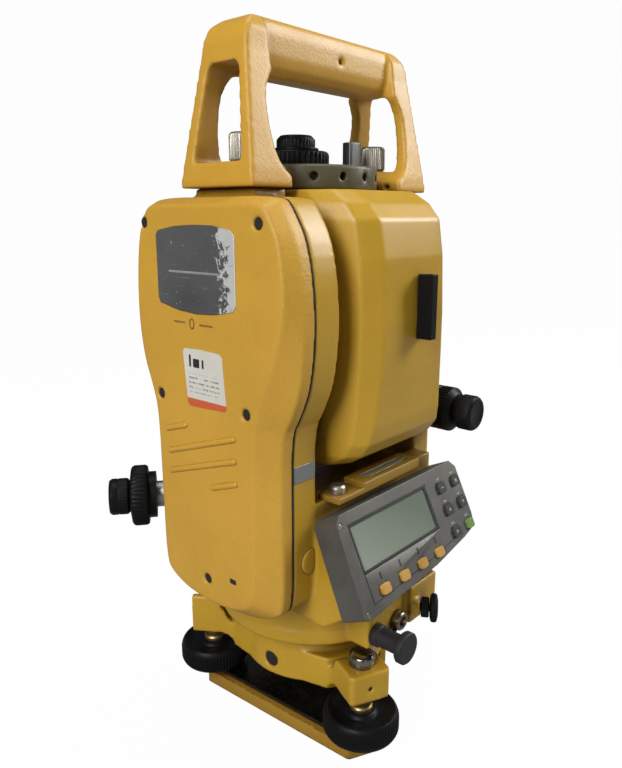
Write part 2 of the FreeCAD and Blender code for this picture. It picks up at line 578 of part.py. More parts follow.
# ---------------------------------------------------------------- display and keys
KEYS = {}
for index in range(4):
    KEYS["soft_key_%d" % (index + 1)] = (-33.3 + 14.92 * index, 6.9, 3.0, 2.3)
for index, (across, along) in enumerate(((30.1, 33.6), (43.3, 33.6), (30.1, 22.25), (43.3, 22.25),
                                         (30.1, 10.7))):
    KEYS["menu_key_%d" % (index + 1)] = (across, along, 3.1, 2.6)
KEYS["power_key"] = (43.3, 10.7, 3.0, 2.4)


def on_screen(thing, across, along, out):
    """Place a thing in the frame of the sloping display face."""
    slope = math.radians(SIZES["screen_turn"])
    c = math.cos(slope)
    s = math.sin(slope)
    at = (across, "screen_front + (%s) * %.6f - (%s) * %.6f" % (along, c, out, s),
          "screen_level + (%s) * %.6f + (%s) * %.6f" % (along, s, out, c))
    return place(thing, at, X_AXIS, SIZES["screen_turn"])


def screen_box(name, size, across, along, out):
    return on_screen(box(name, size, ("0", "0", "0")), across, along, out)


def make_display():
    face = [("-screen_half + 0.6", "-1.4"), ("8", "2.2"), ("36", "6"), ("45.5", "8"), ("screen_half - 0.8", "11.5"),
            ("screen_half", "15"), ("screen_half", "screen_high - 4"), ("screen_half - 4", "screen_high"),
            ("-screen_half + 3", "screen_high"), ("-screen_half", "screen_high - 3"), ("-screen_half - 2", "0")]
    case = on_screen(slab("case_slab", "XY_Plane", face, "screen_deep"), "0", "0", "-screen_deep")
    tools = [screen_box("lcd_recess", ("lcd_right - lcd_left", "lcd_high - lcd_low", "4"),
                        "lcd_left", "lcd_low", "-2"),
             screen_box("case_hollow", ("screen_half * 2 - 6", "screen_high - 8", "7.5"),
                        "-screen_half + 3", "4", "-screen_deep + 1.5")]
    for name, (across, along, half_x, half_y) in KEYS.items():
        tools.append(screen_box("hole_" + name,
                                ("%g + key_gap * 2" % (half_x * 2), "%g + key_gap * 2" % (half_y * 2),
                                 "key_deep + key_travel + 2"),
                                "%g - key_gap" % (across - half_x), "%g - key_gap" % (along - half_y),
                                "-key_deep - key_travel - 0.2"))
    for index, (across, along) in enumerate((("0.5", "1.1"), ("1.9", "screen_high - 4.6"))):
        hole = rod("case_screw_hole_%d" % index, "1.3", "4", ("0", "0", "0"))
        tools.append(on_screen(hole, "-screen_half + " + across, along, "-2.2"))
    part("display_housing", cut("display_housing", case, tools))
    part("lcd_window", screen_box("lcd_window", ("lcd_right - lcd_left - 0.2", "lcd_high - lcd_low - 0.2", "1.2"),
                                  "lcd_left + 0.1", "lcd_low + 0.1", "-2"))
    board = screen_box("main_board", ("screen_half * 2 - 8", "screen_high - 10", "1.6"),
                       "-screen_half + 4", "5", "-screen_deep + 1.5")
    part("main_board", board)
    for name, (across, along, half_x, half_y) in KEYS.items():
        cap = screen_box("cap_" + name, ("%g" % (half_x * 2), "%g" % (half_y * 2), "key_proud + key_deep"),
                         "%g" % (across - half_x), "%g" % (along - half_y), "-key_deep")
        normal = V(0, -math.sin(math.radians(SIZES["screen_turn"])), math.cos(math.radians(SIZES["screen_turn"])))
        part(name, soften(name, cap, 1.4, lambda a, b: (a - b).cross(normal).Length < 0.01))


def make_connectors():
    serial = lathe("serial_connector", [("2.8", "0"), ("4", "0"), ("4", "6"), ("4.6", "6.4"),
                                        ("4.6", "9.4"), ("4", "10.1"), ("2.8", "10.1"), ("2.8", "8"),
                                        ("0", "8"), ("0", "2"), ("2.8", "2")], ("-2.2", "-49.2", "64.5"), -Y_AXIS)
    power = lathe("power_connector", [("0", "0"), ("3.6", "0"), ("3.6", "21"), ("3", "21.6"), ("0", "21.6")],
                  ("-19.5", "-47.6", "64.8"), -Y_AXIS)
    group = doc.addObject("Part::Compound", "connector_barrels")
    group.Links = [serial, power]
    part("connector_barrels", group)
    cap = lathe("power_connector_cap",
                [("3.65", "0"), ("5.4", "0"), ("5.4", "3"), ("4.7", "3.6"), ("4.7", "14.4"), ("7", "14.9"),
                 ("7.5", "15.5"), ("7.5", "18"), ("7", "18.6"), ("0", "18.6"), ("0", "14.6"),
                 ("3.65", "14.6")], ("-19.5", "-55.4", "64.8"), -Y_AXIS)
    part("power_connector_cap", cap)


# ---------------------------------------------------------------- knobs and plummet
def clamp_pair(name, at, direction, ring_r, knob_r, extra):
    """A clamp collar next to the casting and a slow motion knob on a stem through it."""
    mid = "%g" % (9 + extra)
    ring = lathe(name + "_clamp_ring",
                 [("3.1", "0.9"), ("%g - 1.2" % ring_r, "0.9"), ("%g" % ring_r, "1.8"), ("%g" % ring_r, "3.6"),
                  ("%g - 1" % ring_r, "4.1"), ("%g - 1" % ring_r, "4.9"), ("%g" % ring_r, "5.4"),
                  ("%g" % ring_r, mid + " - 3"), ("%g - 1" % ring_r, mid + " - 2"),
                  ("%g - 3" % ring_r, mid), ("3.1", mid)], at, direction)
    part(name + "_clamp_ring", ring)
    knob = lathe(name + "_tangent_knob",
                 [("0", "-12"), ("3", "-12"), ("3", mid + " + 0.3"), ("6.6", mid + " + 0.3"),
                  ("6.6", mid + " + 2"), ("%g - 0.8" % knob_r, mid + " + 2.4"), ("%g" % knob_r, mid + " + 3.2"),
                  ("%g" % knob_r, mid + " + 9.6"), ("%g - 1" % knob_r, mid + " + 11"),
                  ("%g - 3" % knob_r, mid + " + 11.4"), ("0", mid + " + 11.4")], at, direction)
    part(name + "_tangent_knob", knob)


def make_slow_motion():
    """Small clamp collar and slow motion knob on the block under the display."""
    way = heading(SIZES["slow_turn"])
    ring = lathe("horizontal_clamp_ring",
                 [("2.1", "0.3"), ("4.5", "0.3"), ("5", "0.9"), ("5", "3.7"), ("4.5", "4.3"), ("2.1", "4.3")],
                 along_way("3"), way)
    part("horizontal_clamp_ring", ring)
    knob = lathe("horizontal_tangent_knob",
                 [("0", "-5"), ("2", "-5"), ("2", "4.6"), ("4.6", "4.6"), ("6.4", "5.1"), ("7", "5.8"),
                  ("7", "7.4"), ("6.4", "8.2"), ("4", "8.7"), ("0", "8.7")], along_way("3"), way)
    part("horizontal_tangent_knob", knob)


def make_plummet():
    way = heading(SIZES["plummet_turn"])
    tube = lathe("plummet_tube", [("4", "30"), ("6.45", "30"), ("6.45", "93.8"), ("4", "93.8")],
                 ("0", "0", "plummet_level"), way)
    part("plummet_tube", tube)
    ring = lathe("plummet_focus_ring",
                 [("6.5", "81"), ("11.5", "81"), ("11.5", "84.5"), ("14.2", "84.9"), ("15", "85.9"),
                  ("15", "91.6"), ("14.2", "92.8"), ("10", "93.6"), ("6.5", "93.6")], ("0", "0", "plummet_level"), way)
    part("plummet_focus_ring", ring)
    eye = lathe("plummet_eyepiece",
                [("2.4", "84"), ("3.95", "84"), ("3.95", "94.2"), ("8", "94.2"), ("9", "95.2"), ("9", "102.6"),
                 ("8.2", "103.8"), ("6.4", "103.8"), ("5", "101"), ("2.4", "100")],
                ("0", "0", "plummet_level"), way)
    part("plummet_eyepiece", eye)


# ---------------------------------------------------------------- battery
def make_battery():
    slab_part = slab("pack_slab", "YZ_Plane", PACK_FLANK, "pack_rim - pack_in", ("pack_in", "0", "0"))
    crown = taper("pack_crown", PACK_FLANK, PACK_CREST, "pack_out - pack_rim", ("pack_rim", "0", "0"))
    stock = fuse("pack_stock", [slab_part, crown])
    tools = [box("pack_room", ("11.5", "43", "106"), ("pack_in - 1", "-16", "120")),
             box("pack_latch_bay", ("8.3", "24.4", "8"), ("pack_out - 8", "-6.7", "244"))]
    part("battery_pack", cut("battery_pack", stock, tools))
    slider = box("latch_slider", ("6", "24", "6"), ("pack_out - 7.5", "-6.5", "244.2"))
    ribs = [box("latch_rib_%d" % k, ("1.3", "24", "0.9"), ("pack_out - 2", "-6.5", "%g" % (245 + 1.7 * k)))
            for k in range(3)]
    part("battery_latch", fuse("battery_latch", [slider] + ribs))


# ---------------------------------------------------------------- telescope
TUBE_LEVELS = [("144", 28, 18, 33, 12), ("148.5", 42, 24, 36, 24), ("154", 51, 27, 36.5, 31),
               ("160.5", 55.5, 27.5, 36.5, 34), ("168", 57, 26, 36.5, 36), ("190", 58.5, 23.5, 36.5, 37),
               ("214", 59, 22.5, 36.5, 38), ("240", 57.8, 22.5, 36.5, 37), ("256", 55, 23, 36.5, 35),
               ("263", 49, 23, 36, 31), ("end_low", 40, 22, 34.5, 25)]


def tube_ring(front, face, side, corner):
    """Cross-section of the telescope: flat front and back, rounded off to flat sides."""
    mid_x = face + 0.66 * (side - face)
    mid_y = front - 0.28 * (front - corner)
    quarter = [(face, -front), (mid_x, -mid_y), (side, -corner)]
    right = quarter + [(x, -y) for x, y in reversed(quarter)]
    ring = right + [(-x, -y) for x, y in right]
    return [("%.3f" % x, "%.3f" % y) for x, y in ring]


def make_telescope():
    body = doc.addObject("PartDesign::Body", "tube_body")
    sections = []
    for index, (level, front, face, side, corner) in enumerate(TUBE_LEVELS):
        sketch = draw(body, "tube_ring_%d" % index, "XY_Plane", tube_ring(front, face, side, corner))
        sketch.setExpression(".AttachmentOffset.Base.z", spell(level))
        sketch.Visibility = False
        sections.append(sketch)
    loft = body.newObject("PartDesign::AdditiveLoft", "tube_loft")
    loft.Profile = sections[0]
    loft.Sections = sections[1:]
    loft.Ruled = True
    body.Tip = loft
    boss = rod("trunnion_boss", "boss_r", "boss_out * 2", ("-boss_out", "0", "axis_level"), X_AXIS)
    stock = fuse("tube_stock", [body, boss])
    tools = [rod("objective_bore", "20.5", "32", ("0", "sight_y", "132")),
             rod("light_path", "17", "150", ("0", "sight_y", "130")),
             box("tube_room_low", ("62", "80", "26"), ("-31", "-40", "160")),
             box("tube_room_high", ("62", "84", "48"), ("-31", "-42", "208")),
             rod("axle_socket_left", "axle_r", "8", ("-boss_out - 1", "0", "axis_level"), X_AXIS),
             rod("axle_socket_right", "axle_r", "8", ("boss_out - 7", "0", "axis_level"), X_AXIS)]
    part("telescope_housing", cut("telescope_housing", stock, tools))
    axles = [rod("axle_left", "axle_r", "32", ("-boss_out + 7 - 32", "0", "axis_level"), X_AXIS),
             rod("axle_right", "axle_r", "20", ("boss_out - 7", "0", "axis_level"), X_AXIS)]
    group = doc.addObject("Part::Compound", "trunnion_axle")
    group.Links = axles
    part("trunnion_axle", group)
    disc = lathe("vertical_circle", [("axle_r + 0.02", "0"), ("36", "0"), ("36", "2"), ("13", "2"), ("13", "4"),
                                     ("axle_r + 0.02", "4")], ("-68.5", "0", "axis_level"), X_AXIS)
    part("vertical_circle", disc)
    lens = lathe("objective_lens", [("0", "147"), ("16", "148"), ("20.45", "149"), ("20.45", "154"), ("0", "154")],
                 ("0", "sight_y", "0"))
    part("objective_lens", lens)


def make_eye_end():
    plate = lathe("end_plate_disc", [("end_r - 1", "end_low"), ("end_r", "end_low + 1"),
                                     ("end_r", "end_top - 1"), ("end_r - 1", "end_top"), ("0", "end_top"),
                                     ("0", "end_low")], ("0", "end_y", "0"))
    dimples = []
    for step in range(16):
        turn = step * 22.5 + 4
        x, y = polar("end_r - 4", turn)
        dimples.append(rod("rim_dimple_%d" % step, "1.9", "6", (x, "%s + end_y" % y, "end_low + 6"),
                           heading(turn)))
    tabs = []
    for index, turn in enumerate((-20, 158)):
        x, y = polar("27", turn)
        tab = box("grip_tab_%d" % index, ("8", "5", "292 - end_top"), ("0", "0", "0"))
        place(tab, ("%s - 4" % x, "%s + end_y - 2.5" % y, "end_top"), Z_AXIS, 0)
        tabs.append(tab)
    stock = fuse("end_plate_stock", [plate] + tabs)
    hole = rod("end_plate_hole", "13.95", "12", ("0", "sight_y", "end_low - 1"))
    part("telescope_end_plate", cut("telescope_end_plate", stock, dimples + [hole]))
    ring = lathe("focusing_ring",
                 [("10", "end_low + 2"), ("13.9", "end_low + 2"), ("13.9", "end_top + 0.3"),
                  ("focus_r - 0.8", "end_top + 0.3"), ("focus_r", "end_top + 1"), ("focus_r", "focus_top - 1"),
                  ("focus_r - 1", "focus_top"), ("10", "focus_top")], ("0", "sight_y", "0"))
    part("focusing_ring", ring)
    eye = lathe("eyepiece",
                [("3.5", "end_low + 4"), ("9.9", "end_low + 4"), ("9.9", "focus_top + 0.6"),
                 ("eye_r + 1.6", "focus_top + 0.6"), ("eye_r + 1.6", "focus_top + 1.6"), ("eye_r", "focus_top + 2"),
                 ("eye_r", "eye_top - 1.8"), ("eye_r - 1.8", "eye_top"), ("6.2", "eye_top"),
                 ("5", "eye_top - 2"), ("3.5", "eye_top - 2.4")], ("0", "sight_y", "0"))
    part("eyepiece", eye)
    sights = []
    for side, y in (("front", "-66.5"), ("back", "59.1")):
        shell = box("sight_shell_" + side, ("4.2", "7.4", "28.5"), ("0.8", y, "204.3"))
        bore = rod("sight_bore_" + side, "1.5", "35", ("2.9", "%s + 3" % y, "203"))
        sights.append(cut("sight_" + side, shell, [bore]))
    group = doc.addObject("Part::Compound", "sight_collimators")
    group.Links = sights
    part("sight_collimators", group)


# ---------------------------------------------------------------- handle
def make_handle():
    front = [("-foot_out", "seat_top"), ("-foot_out + 0.6", "275"), ("-grip_out - 0.5", "326"),
             ("-grip_out + 2", "332"), ("-grip_out + 7", "335.4"), ("-44", "handle_top"), ("44", "handle_top"),
             ("grip_out - 7", "335.4"), ("grip_out - 2", "332"), ("grip_out + 0.5", "326"),
             ("foot_out - 0.6", "275"), ("foot_out", "seat_top"), ("foot_in", "seat_top"),
             ("foot_in", "274"), ("41.5", "275.6"), ("44.6", "279"), ("46.8", "284"), ("48", "291"),
             ("48.4", "300"), ("47.8", "306"), ("46", "310"), ("43", "grip_low"), ("-43", "grip_low"),
             ("-46", "310"), ("-47.8", "306"), ("-48.4", "300"), ("-48", "291"), ("-46.8", "284"),
             ("-44.6", "279"), ("-41.5", "275.6"), ("-foot_in", "274"), ("-foot_in", "seat_top")]
    arch = slab("handle_arch", "XZ_Plane", front, "foot_deep * 2 + 2", ("0", "foot_deep + 1", "0"))
    side = [("-foot_deep", "seat_top"), ("-foot_deep + 0.8", "276"), ("-grip_deep - 0.4", "322"),
            ("-grip_deep + 0.4", "330"), ("-grip_deep + 3.2", "334.6"), ("-grip_deep + 6", "handle_top"),
            ("grip_deep - 6", "handle_top"), ("grip_deep - 3.2", "334.6"), ("grip_deep - 0.4", "330"),
            ("grip_deep + 0.4", "322"), ("foot_deep - 0.8", "276"), ("foot_deep", "seat_top")]
    ends = slab("handle_side", "YZ_Plane", side, "foot_out * 2 + 4", ("-foot_out - 2", "0", "0"))
    shaped = common("handle_shape", [arch, ends])
    window = [("-14.5", "279"), ("-9.3", "315"), ("-7.3", "317.5"), ("7.3", "317.5"), ("9.3", "315"),
              ("14.5", "279")]
    tools = []
    for name, start in (("left", "-foot_out - 3"), ("right", "43.5")):
        tools.append(slab("window_" + name, "YZ_Plane", window, "foot_out - 43.5 + 3", (start, "0", "0")))
    for name, out in (("front", "-1"), ("back", "1")):
        wedge = [("(%s) * 26" % out, "grip_low - 1.5"), ("(%s) * 26" % out, "handle_top + 4"),
                 ("(%s) * (grip_half - 3)" % out, "handle_top + 0.5"),
                 ("(%s) * (grip_half - 1)" % out, "handle_top - 2"), ("(%s) * grip_half" % out, "handle_top - 6"),
                 ("(%s) * grip_half" % out, "grip_low + 7.5"), ("(%s) * (grip_half - 1)" % out, "grip_low + 3.5"),
                 ("(%s) * (grip_half - 4)" % out, "grip_low + 0.5"),
                 ("(%s) * (grip_half - 6)" % out, "grip_low - 0.5")]
        tools.append(slab("grip_round_" + name, "YZ_Plane", wedge, "86", ("-43", "0", "0")))
    cored = cut("handle_cored", shaped, tools)
    bosses = []
    holes = []
    for name, x in THUMB_SPOTS.items():
        bosses.append(cone("screw_boss_" + name, "8.5", "6.6", "3", (x, "0", "276.5")))
        bosses.append(box("screw_step_" + name, ("8", "22", "7.8"), ("%s - 4" % x, "-11", "268.9")))
        holes.append(rod("screw_way_" + name, "3.1", "20", (x, "0", "266")))
        holes.append(rod("foot_hole_" + name, "1.3", "6",
                         ("foot_in - 1" if name == "right" else "-foot_in - 5", "-14", "271.2"), X_AXIS))
    holes.append(rod("grip_hole", "1.4", "4", ("7", "-grip_half - 1", "325.5"), Y_AXIS))
    part("handle", cut("handle", fuse("handle_stock", [cored] + bosses), holes))
    for name, x in THUMB_SPOTS.items():
        screw = lathe("handle_screw_" + name,
                      [("0", "262"), ("2.2", "262"), ("3", "263"), ("3", "279.6"), ("thumb_r - 1", "279.6"),
                       ("thumb_r", "280.4"), ("thumb_r", "290.5"), ("thumb_r - 1", "291.5"),
                       ("0", "291.5")], (x, "0", "0"))
        part("handle_screw_" + name, screw)


def main():
    make_base_plate()
    make_spring_plate()
    make_tribrach_body()
    make_circular_level()
    make_foot_screws()
    make_lock()
    make_instrument_base()
    make_alidade_frame()
    make_vertical_shaft()
    make_side_cover()
    make_plate_level()
    make_bearings()
    make_display()
    make_connectors()
    clamp_pair("vertical", ("tangent_x", "-34.4", "tangent_level"), -Y_AXIS, 11.75, 9.25, 6)
    make_slow_motion()
    make_plummet()
    make_battery()
    make_telescope()
    make_eye_end()
    make_handle()
    doc.recompute()
    bad = []
    for thing in doc.Objects:
        if "Invalid" in thing.State or "Error" in thing.State:
            bad.append("%s %s" % (thing.Label, thing.State))
    for thing in PARTS:
        if thing.Shape.isNull() or not thing.Shape.isValid():
            bad.append("%s has no valid shape" % thing.Label)
    if bad:
        raise RuntimeError("; ".join(bad))
    os.makedirs("parts", exist_ok=True)
    for thing in PARTS:
        thing.Shape.exportStep("parts/%s.step" % thing.Label)
        solids = len(thing.Shape.Solids)
        print("%-24s solids %2d volume %10.1f" % (thing.Label, solids, thing.Shape.Volume))


main()
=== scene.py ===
import json
import math
import bpy
import bmesh
from mathutils import Matrix, Vector

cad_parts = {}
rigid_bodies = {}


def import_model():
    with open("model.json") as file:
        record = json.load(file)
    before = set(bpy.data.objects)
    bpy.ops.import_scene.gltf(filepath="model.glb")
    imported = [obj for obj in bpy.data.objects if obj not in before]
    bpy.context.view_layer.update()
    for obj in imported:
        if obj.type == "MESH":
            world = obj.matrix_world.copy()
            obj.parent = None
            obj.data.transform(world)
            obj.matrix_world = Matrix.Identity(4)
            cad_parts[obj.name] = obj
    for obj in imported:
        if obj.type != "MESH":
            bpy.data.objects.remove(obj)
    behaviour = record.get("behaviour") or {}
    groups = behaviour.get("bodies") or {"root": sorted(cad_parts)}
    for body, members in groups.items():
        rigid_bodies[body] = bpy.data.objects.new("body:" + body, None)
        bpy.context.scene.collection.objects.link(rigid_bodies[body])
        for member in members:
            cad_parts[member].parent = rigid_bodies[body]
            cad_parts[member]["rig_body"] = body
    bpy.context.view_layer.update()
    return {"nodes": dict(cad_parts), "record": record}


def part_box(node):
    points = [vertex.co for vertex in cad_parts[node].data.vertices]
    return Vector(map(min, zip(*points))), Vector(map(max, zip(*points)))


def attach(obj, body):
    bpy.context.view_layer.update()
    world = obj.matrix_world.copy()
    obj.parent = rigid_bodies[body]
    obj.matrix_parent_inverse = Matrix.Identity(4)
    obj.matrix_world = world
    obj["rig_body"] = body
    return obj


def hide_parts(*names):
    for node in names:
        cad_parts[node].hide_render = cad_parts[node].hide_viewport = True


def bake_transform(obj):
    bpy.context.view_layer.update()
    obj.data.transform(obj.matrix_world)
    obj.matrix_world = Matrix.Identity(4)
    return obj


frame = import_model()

nodes = frame["nodes"]
MM = 0.001
X_AXIS = Vector((1, 0, 0))
Y_AXIS = Vector((0, 1, 0))
Z_AXIS = Vector((0, 0, 1))


# ---------------------------------------------------------------- material graphs
class Graph:
    """A node material under construction; coordinates are the part's own, in metres."""

    def __init__(self, name):
        self.mat = bpy.data.materials.new(name)
        self.mat.use_nodes = True
        self.tree = self.mat.node_tree
        self.tree.nodes.clear()
        self.output = self.tree.nodes.new("ShaderNodeOutputMaterial")
        self.shader = self.tree.nodes.new("ShaderNodeBsdfPrincipled")
        self.tree.links.new(self.shader.outputs[0], self.output.inputs[0])
        self.coords = self.add("ShaderNodeTexCoord").outputs["Object"]

    def add(self, kind, inputs=None, **props):
        node = self.tree.nodes.new(kind)
        for key, value in props.items():
            setattr(node, key, value)
        for key, value in (inputs or {}).items():
            self.wire(value, node.inputs[key])
        return node

    def wire(self, value, socket):
        if isinstance(value, bpy.types.NodeSocket):
            self.tree.links.new(value, socket)
        elif isinstance(value, (tuple, list)) and len(value) == 3 and socket.type == "RGBA":
            socket.default_value = (*value, 1)
        else:
            socket.default_value = value

    def scaled(self, x, y, z):
        return self.add("ShaderNodeMapping", {"Vector": self.coords, "Scale": (x, y, z)}).outputs[0]

    def noise(self, scale, detail=3.0, rough=0.55, vector=None, warp=0.0):
        return self.add("ShaderNodeTexNoise", {"Vector": vector or self.coords, "Scale": scale,
                                               "Detail": detail, "Roughness": rough,
                                               "Distortion": warp}).outputs[0]

    def cells(self, scale, vector=None, feature="F1"):
        return self.add("ShaderNodeTexVoronoi", {"Vector": vector or self.coords, "Scale": scale},
                        feature=feature).outputs["Distance"]

    def math(self, operation, a, b=0.0, clamp=False):
        return self.add("ShaderNodeMath", {0: a, 1: b}, operation=operation, use_clamp=clamp).outputs[0]

    def step(self, value, low, high):
        node = self.add("ShaderNodeMapRange", {"Value": value, "From Min": low, "From Max": high})
        node.clamp = True
        return node.outputs[0]

    def mix(self, factor, a, b, mode="MIX"):
        node = self.add("ShaderNodeMix", data_type="RGBA", blend_type=mode)
        self.wire(factor, node.inputs[0])
        self.wire(a, node.inputs[6])
        self.wire(b, node.inputs[7])
        return node.outputs[2]

    def bump(self, height, distance, strength=1.0, under=None):
        inputs = {"Height": height, "Distance": distance, "Strength": strength}
        if under is not None:
            inputs["Normal"] = under
        return self.add("ShaderNodeBump", inputs).outputs[0]

    def edges(self, radius, low=0.02, high=0.12):
        """1 on convex or concave edges sharper than the radius, 0 on flat faces."""
        soft = self.add("ShaderNodeBevel", {"Radius": radius}, samples=4).outputs[0]
        hard = self.add("ShaderNodeNewGeometry").outputs["Normal"]
        dot = self.add("ShaderNodeVectorMath", {0: soft, 1: hard}, operation="DOT_PRODUCT").outputs["Value"]
        return self.step(self.math("SUBTRACT", 1.0, dot), low, high), soft

    def crevice(self, distance):
        shade = self.add("ShaderNodeAmbientOcclusion", {"Distance": distance}, samples=6).outputs["AO"]
        return self.math("SUBTRACT", 1.0, shade)

    def finish(self, **values):
        for key, value in values.items():
            self.wire(value, self.shader.inputs[key.replace("_", " ").title()
                                                if key != "ior" else "IOR"])
        return self.mat


def paint(name, light, shade, rough, pebble=0.0, chips=0.0, corner_soil_and_shade=0.55, orange_peel=0.3, reach=0.045):
    """Stoved enamel on a casting: colour drift, soiling with painted shade in the corners, painted heavy
    shade in wide gaps, rubbed and chipped edges.
    """
    g = Graph(name)
    drift = g.step(g.noise(16, 4), 0.35, 0.7)
    colour = g.mix(drift, light, shade)
    speck = g.step(g.noise(900, 2, 0.6), 0.3, 0.75)
    darker = tuple(c * 0.82 for c in shade)
    colour = g.mix(g.math("MULTIPLY", speck, 0.28), colour, darker)
    blot = g.step(g.noise(70, 5, 0.7, warp=0.6), 0.58, 0.85)
    colour = g.mix(g.math("MULTIPLY", blot, 0.3), colour, (shade[0] * 0.7, shade[1] * 0.62, shade[2] * 0.8))
    # painted shade with soiling: small corners found by ambient occlusion are darkened towards brown, broken
    # up by noise; roughness rises there too
    shadow = g.step(g.crevice(0.007), 0.25, 0.95)
    soil_and_shade = g.math("MULTIPLY", g.math("MULTIPLY", shadow, g.step(g.noise(120, 4), 0.25, 0.6)), corner_soil_and_shade)
    colour = g.mix(soil_and_shade, colour, (0.075, 0.045, 0.016))
    # painted heavy shade: wider gaps found by ambient occlusion over the given reach are darkened strongly
    # towards brown
    painted_deep_shade = g.step(g.crevice(reach), 0.30, 0.92)
    colour = g.mix(g.math("MULTIPLY", painted_deep_shade, 0.85), colour,
                   tuple(c * k for c, k in zip(shade, (0.30, 0.22, 0.08))))
    edge, soft = g.edges(0.0012, 0.015, 0.10)
    rubbed = g.math("MULTIPLY", edge, g.step(g.noise(160, 4, 0.7), 0.35, 0.6))
    pale = tuple(min(1.0, c * 1.25 + 0.05) for c in light)
    colour = g.mix(g.math("MULTIPLY", rubbed, 0.35), colour, pale)
    chip_mask = g.math("MULTIPLY", edge, g.step(g.noise(330, 5, 0.75, warp=0.4), 0.66 - 0.1 * chips,
                                                0.70 - 0.1 * chips))
    chip_mask = g.math("MULTIPLY", chip_mask, 1.0 if chips > 0 else 0.0)
    colour = g.mix(chip_mask, colour, (0.055, 0.045, 0.038))
    pinholes = g.step(g.cells(85), 0.06, 0.03)
    spot = g.math("MULTIPLY", pinholes, g.step(g.noise(40, 2), 0.55, 0.6))
    colour = g.mix(g.math("MULTIPLY", spot, 0.45 * min(1, chips + 0.35)), colour, (0.12, 0.075, 0.03))
    height = g.math("MULTIPLY", g.noise(420, 2, 0.5), orange_peel)
    if pebble:
        grain = g.math("ADD", g.math("MULTIPLY", g.cells(780), 0.8), g.noise(1000, 3, 0.6))
        height = g.math("ADD", height, g.math("MULTIPLY", grain, pebble))
    height = g.math("SUBTRACT", height, g.math("MULTIPLY", chip_mask, 0.6))
    bump = g.bump(height, 0.00022, 0.7, soft)
    gloss = g.math("ADD", rough, g.math("MULTIPLY", g.noise(60, 4), 0.14))
    gloss = g.math("ADD", gloss, g.math("MULTIPLY", soil_and_shade, 0.25))
    return g.finish(base_color=colour, roughness=gloss, normal=bump, ior=1.5,
                    metallic=g.math("MULTIPLY", chip_mask, 0.5))


def plastic(name, colour, rough=0.4, dust=0.25, grain=900, depth=0.00008, edge_wear_and_highlight=0.3, shine=0.5, flake=0.0):
    """Moulded plastic or rubber with fine grain, dust in corners and paler edges, rubbed pale and, when set
    high, a painted highlight along the bevels.
    """
    g = Graph(name)
    tone = g.mix(g.step(g.noise(45, 4), 0.3, 0.7), colour, tuple(c * 0.6 + 0.004 for c in colour))
    edge, soft = g.edges(0.0006, 0.03, 0.2)
    # paler edges: rubbing, and at high settings painted highlights along the bevels
    worn = g.math("MULTIPLY", edge, g.step(g.noise(300, 4), 0.3, 0.65))
    tone = g.mix(g.math("MULTIPLY", worn, edge_wear_and_highlight), tone, tuple(c * 1.5 + 0.10 for c in colour))
    corner = g.step(g.crevice(0.003), 0.3, 0.95)
    tone = g.mix(g.math("MULTIPLY", corner, dust), tone, (0.20, 0.17, 0.12))
    smear = g.math("MULTIPLY", g.noise(90, 5, 0.6, warp=0.8), 0.22)
    bump = g.bump(g.noise(grain, 2), depth, 0.7, soft)
    g.shader.inputs["Specular IOR Level"].default_value = shine
    return g.finish(base_color=tone, roughness=g.math("ADD", rough - 0.1, smear), normal=bump, ior=1.48,
                    metallic=flake)


def metal(name, colour, rough=0.25, stretch=(60, 60, 2500), tarnish=0.3, stain=(0.10, 0.075, 0.045)):
    """Turned or brushed metal: fine tool marks, tarnish spots and smudged gloss."""
    g = Graph(name)
    marks = g.noise(1.0, 3, 0.6, vector=g.scaled(*stretch))
    tone = g.mix(g.math("MULTIPLY", marks, 0.5), colour, tuple(c * 0.62 for c in colour))
    spots = g.step(g.noise(220, 5, 0.7), 0.55, 0.75)
    corner = g.step(g.crevice(0.003), 0.2, 0.9)
    mask = g.math("MULTIPLY", g.math("MAXIMUM", spots, corner), tarnish)
    tone = g.mix(mask, tone, stain)
    edge, soft = g.edges(0.0005)
    bump = g.bump(marks, 0.00004, 0.6, soft)
    gloss = g.math("ADD", rough, g.math("MULTIPLY", g.noise(150, 4), 0.16))
    return g.finish(base_color=tone, metallic=g.math("SUBTRACT", 1.0, g.math("MULTIPLY", mask, 0.5)),
                    roughness=g.math("ADD", gloss, g.math("MULTIPLY", mask, 0.25)), normal=bump)


def clear(name, colour, rough=0.04, mixing=0.85):
    """Glass with smudges."""
    g = Graph(name)
    smear = g.math("MULTIPLY", g.step(g.noise(80, 4, warp=0.7), 0.45, 0.8), 0.12)
    tint = g.mix(g.step(g.noise(60, 2), 0.3, 0.7), colour, tuple(c * 0.92 for c in colour))
    return g.finish(base_color=tint, roughness=g.math("ADD", rough, smear), ior=1.45,
                    transmission_weight=mixing)


def foil(name):
    """Dark printed foil worn to bare metal towards one end, as under years of handling."""
    g = Graph(name)
    place = g.add("ShaderNodeSeparateXYZ", {"Vector": g.coords})
    toward = g.step(place.outputs["Y"], 0.004, -0.024)
    scuffs = g.noise(230, 6, 0.75, warp=0.5)
    worn = g.step(g.math("ADD", scuffs, g.math("MULTIPLY", g.math("POWER", toward, 2.5), 0.42)), 0.70, 0.74)
    flecks = g.step(g.cells(420), 0.12, 0.07)
    worn = g.math("MAXIMUM", worn, g.math("MULTIPLY", flecks, g.step(g.noise(130, 3), 0.52, 0.6)))
    base = g.mix(g.step(g.noise(35, 3), 0.3, 0.7), (0.060, 0.063, 0.062), (0.095, 0.097, 0.094))
    scratch = g.step(g.noise(1.0, 2, vector=g.scaled(10, 90, 1400)), 0.66, 0.72)
    base = g.mix(g.math("MULTIPLY", scratch, 0.3), base, (0.3, 0.3, 0.29))
    tone = g.mix(worn, base, (0.80, 0.80, 0.78))
    bump = g.bump(g.math("ADD", worn, g.math("MULTIPLY", scuffs, 0.3)), 0.00006, 0.7)
    return g.finish(base_color=tone, roughness=g.math("ADD", 0.3, g.math("MULTIPLY", scuffs, 0.25)),
                    metallic=g.math("MULTIPLY", worn, 0.5), normal=bump)


